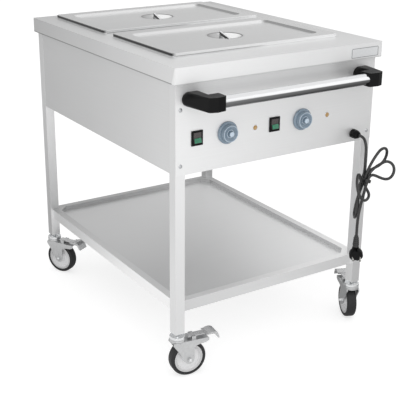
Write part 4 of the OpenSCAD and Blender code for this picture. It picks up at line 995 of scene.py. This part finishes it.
world = bpy.data.worlds.new("studio")
scene.world = world
world.use_nodes = True
sky = world.node_tree
sky.nodes.clear()
out = add_node(sky, "ShaderNodeOutputWorld")
backdrop = add_node(sky, "ShaderNodeBackground", Color=(1, 1, 1, 1))
room = add_node(sky, "ShaderNodeBackground")
direction = add_node(sky, "ShaderNodeTexCoord")
lean = sky.nodes.new("ShaderNodeVectorMath")
lean.operation = "DOT_PRODUCT"
lean.inputs[1].default_value = SKY_LEAN
level = sky.nodes.new("ShaderNodeMath")
level.operation = "ADD"
level.inputs[1].default_value = SKY_MIDDLE
ceiling = sky.nodes.new("ShaderNodeMath")
ceiling.operation = "MINIMUM"
ceiling.inputs[1].default_value = SKY_MOST
paths = add_node(sky, "ShaderNodeLightPath")
pick = add_node(sky, "ShaderNodeMixShader")
sky.links.new(direction.outputs["Generated"], lean.inputs[0])
sky.links.new(lean.outputs["Value"], level.inputs[0])
sky.links.new(level.outputs["Value"], ceiling.inputs[0])
sky.links.new(ceiling.outputs["Value"], room.inputs["Color"])
sky.links.new(paths.outputs["Is Camera Ray"], pick.inputs["Fac"])
sky.links.new(room.outputs["Background"], pick.inputs[1])
sky.links.new(backdrop.outputs["Background"], pick.inputs[2])
sky.links.new(pick.outputs["Shader"], out.inputs["Surface"])

floor_data = bpy.data.meshes.new("floor")
floor_corners = [(x * FLOOR_HALF, y * FLOOR_HALF, 0) for x, y in ((-1, -1), (1, -1), (1, 1), (-1, 1))]
floor_data.from_pydata(floor_corners, [], [(0, 1, 2, 3)])
floor = bpy.data.objects.new("floor", floor_data)
scene.collection.objects.link(floor)
floor_finish = bpy.data.materials.new("floor_finish")
floor_finish.use_nodes = True
tree = floor_finish.node_tree
tree.nodes.clear()
end = add_node(tree, "ShaderNodeOutputMaterial")
matt = add_node(tree, "ShaderNodeBsdfDiffuse", Color=(0.5, 0.5, 0.5, 1))
glow = add_node(tree, "ShaderNodeEmission", Strength=FLOOR_GLOW)
both = add_node(tree, "ShaderNodeAddShader")
place = add_node(tree, "ShaderNodeTexCoord")
toward = tree.nodes.new("ShaderNodeVectorMath")
toward.operation = "NORMALIZE"
facing = tree.nodes.new("ShaderNodeVectorMath")
facing.operation = "DOT_PRODUCT"
facing.inputs[1].default_value = TO_FRONT_LEFT
away = tree.nodes.new("ShaderNodeVectorMath")
away.operation = "LENGTH"
share = tree.nodes.new("ShaderNodeMath")
share.operation = "MULTIPLY"
mirrored = add_node(tree, "ShaderNodeEmission")
paths = add_node(tree, "ShaderNodeLightPath")
pick = add_node(tree, "ShaderNodeMixShader")
tree.links.new(place.outputs["Object"], toward.inputs[0])
tree.links.new(toward.outputs["Vector"], facing.inputs[0])
tree.links.new(place.outputs["Object"], away.inputs[0])
tree.links.new(ramp(tree, facing.outputs["Value"], *FLOOR_ROUND), share.inputs[0])
tree.links.new(ramp(tree, away.outputs["Value"], *FLOOR_OUT), share.inputs[1])
tree.links.new(share.outputs["Value"], mirrored.inputs["Strength"])
tree.links.new(matt.outputs["BSDF"], both.inputs[0])
tree.links.new(glow.outputs["Emission"], both.inputs[1])
tree.links.new(paths.outputs["Is Camera Ray"], pick.inputs["Fac"])
tree.links.new(mirrored.outputs["Emission"], pick.inputs[1])
tree.links.new(both.outputs["Shader"], pick.inputs[2])
tree.links.new(pick.outputs["Shader"], end.inputs["Surface"])
floor_data.materials.append(floor_finish)


def soft_light(name, place, target, size, power):
    """A large square lamp that looks at a target."""
    data = bpy.data.lights.new(name, "AREA")
    data.shape = "SQUARE"
    data.size = size
    data.energy = power
    light = bpy.data.objects.new(name, data)
    light.location = place
    light.rotation_euler = (Vector(target) - Vector(place)).to_track_quat("-Z", "Y").to_euler()
    scene.collection.objects.link(light)


soft_light("key", (-1.8, -3.2, 3.0), AIM, 2.8, 30)
soft_light("fill", (3.0, -2.2, 1.8), AIM, 3.4, 7)

scene.view_settings.view_transform = "Standard"
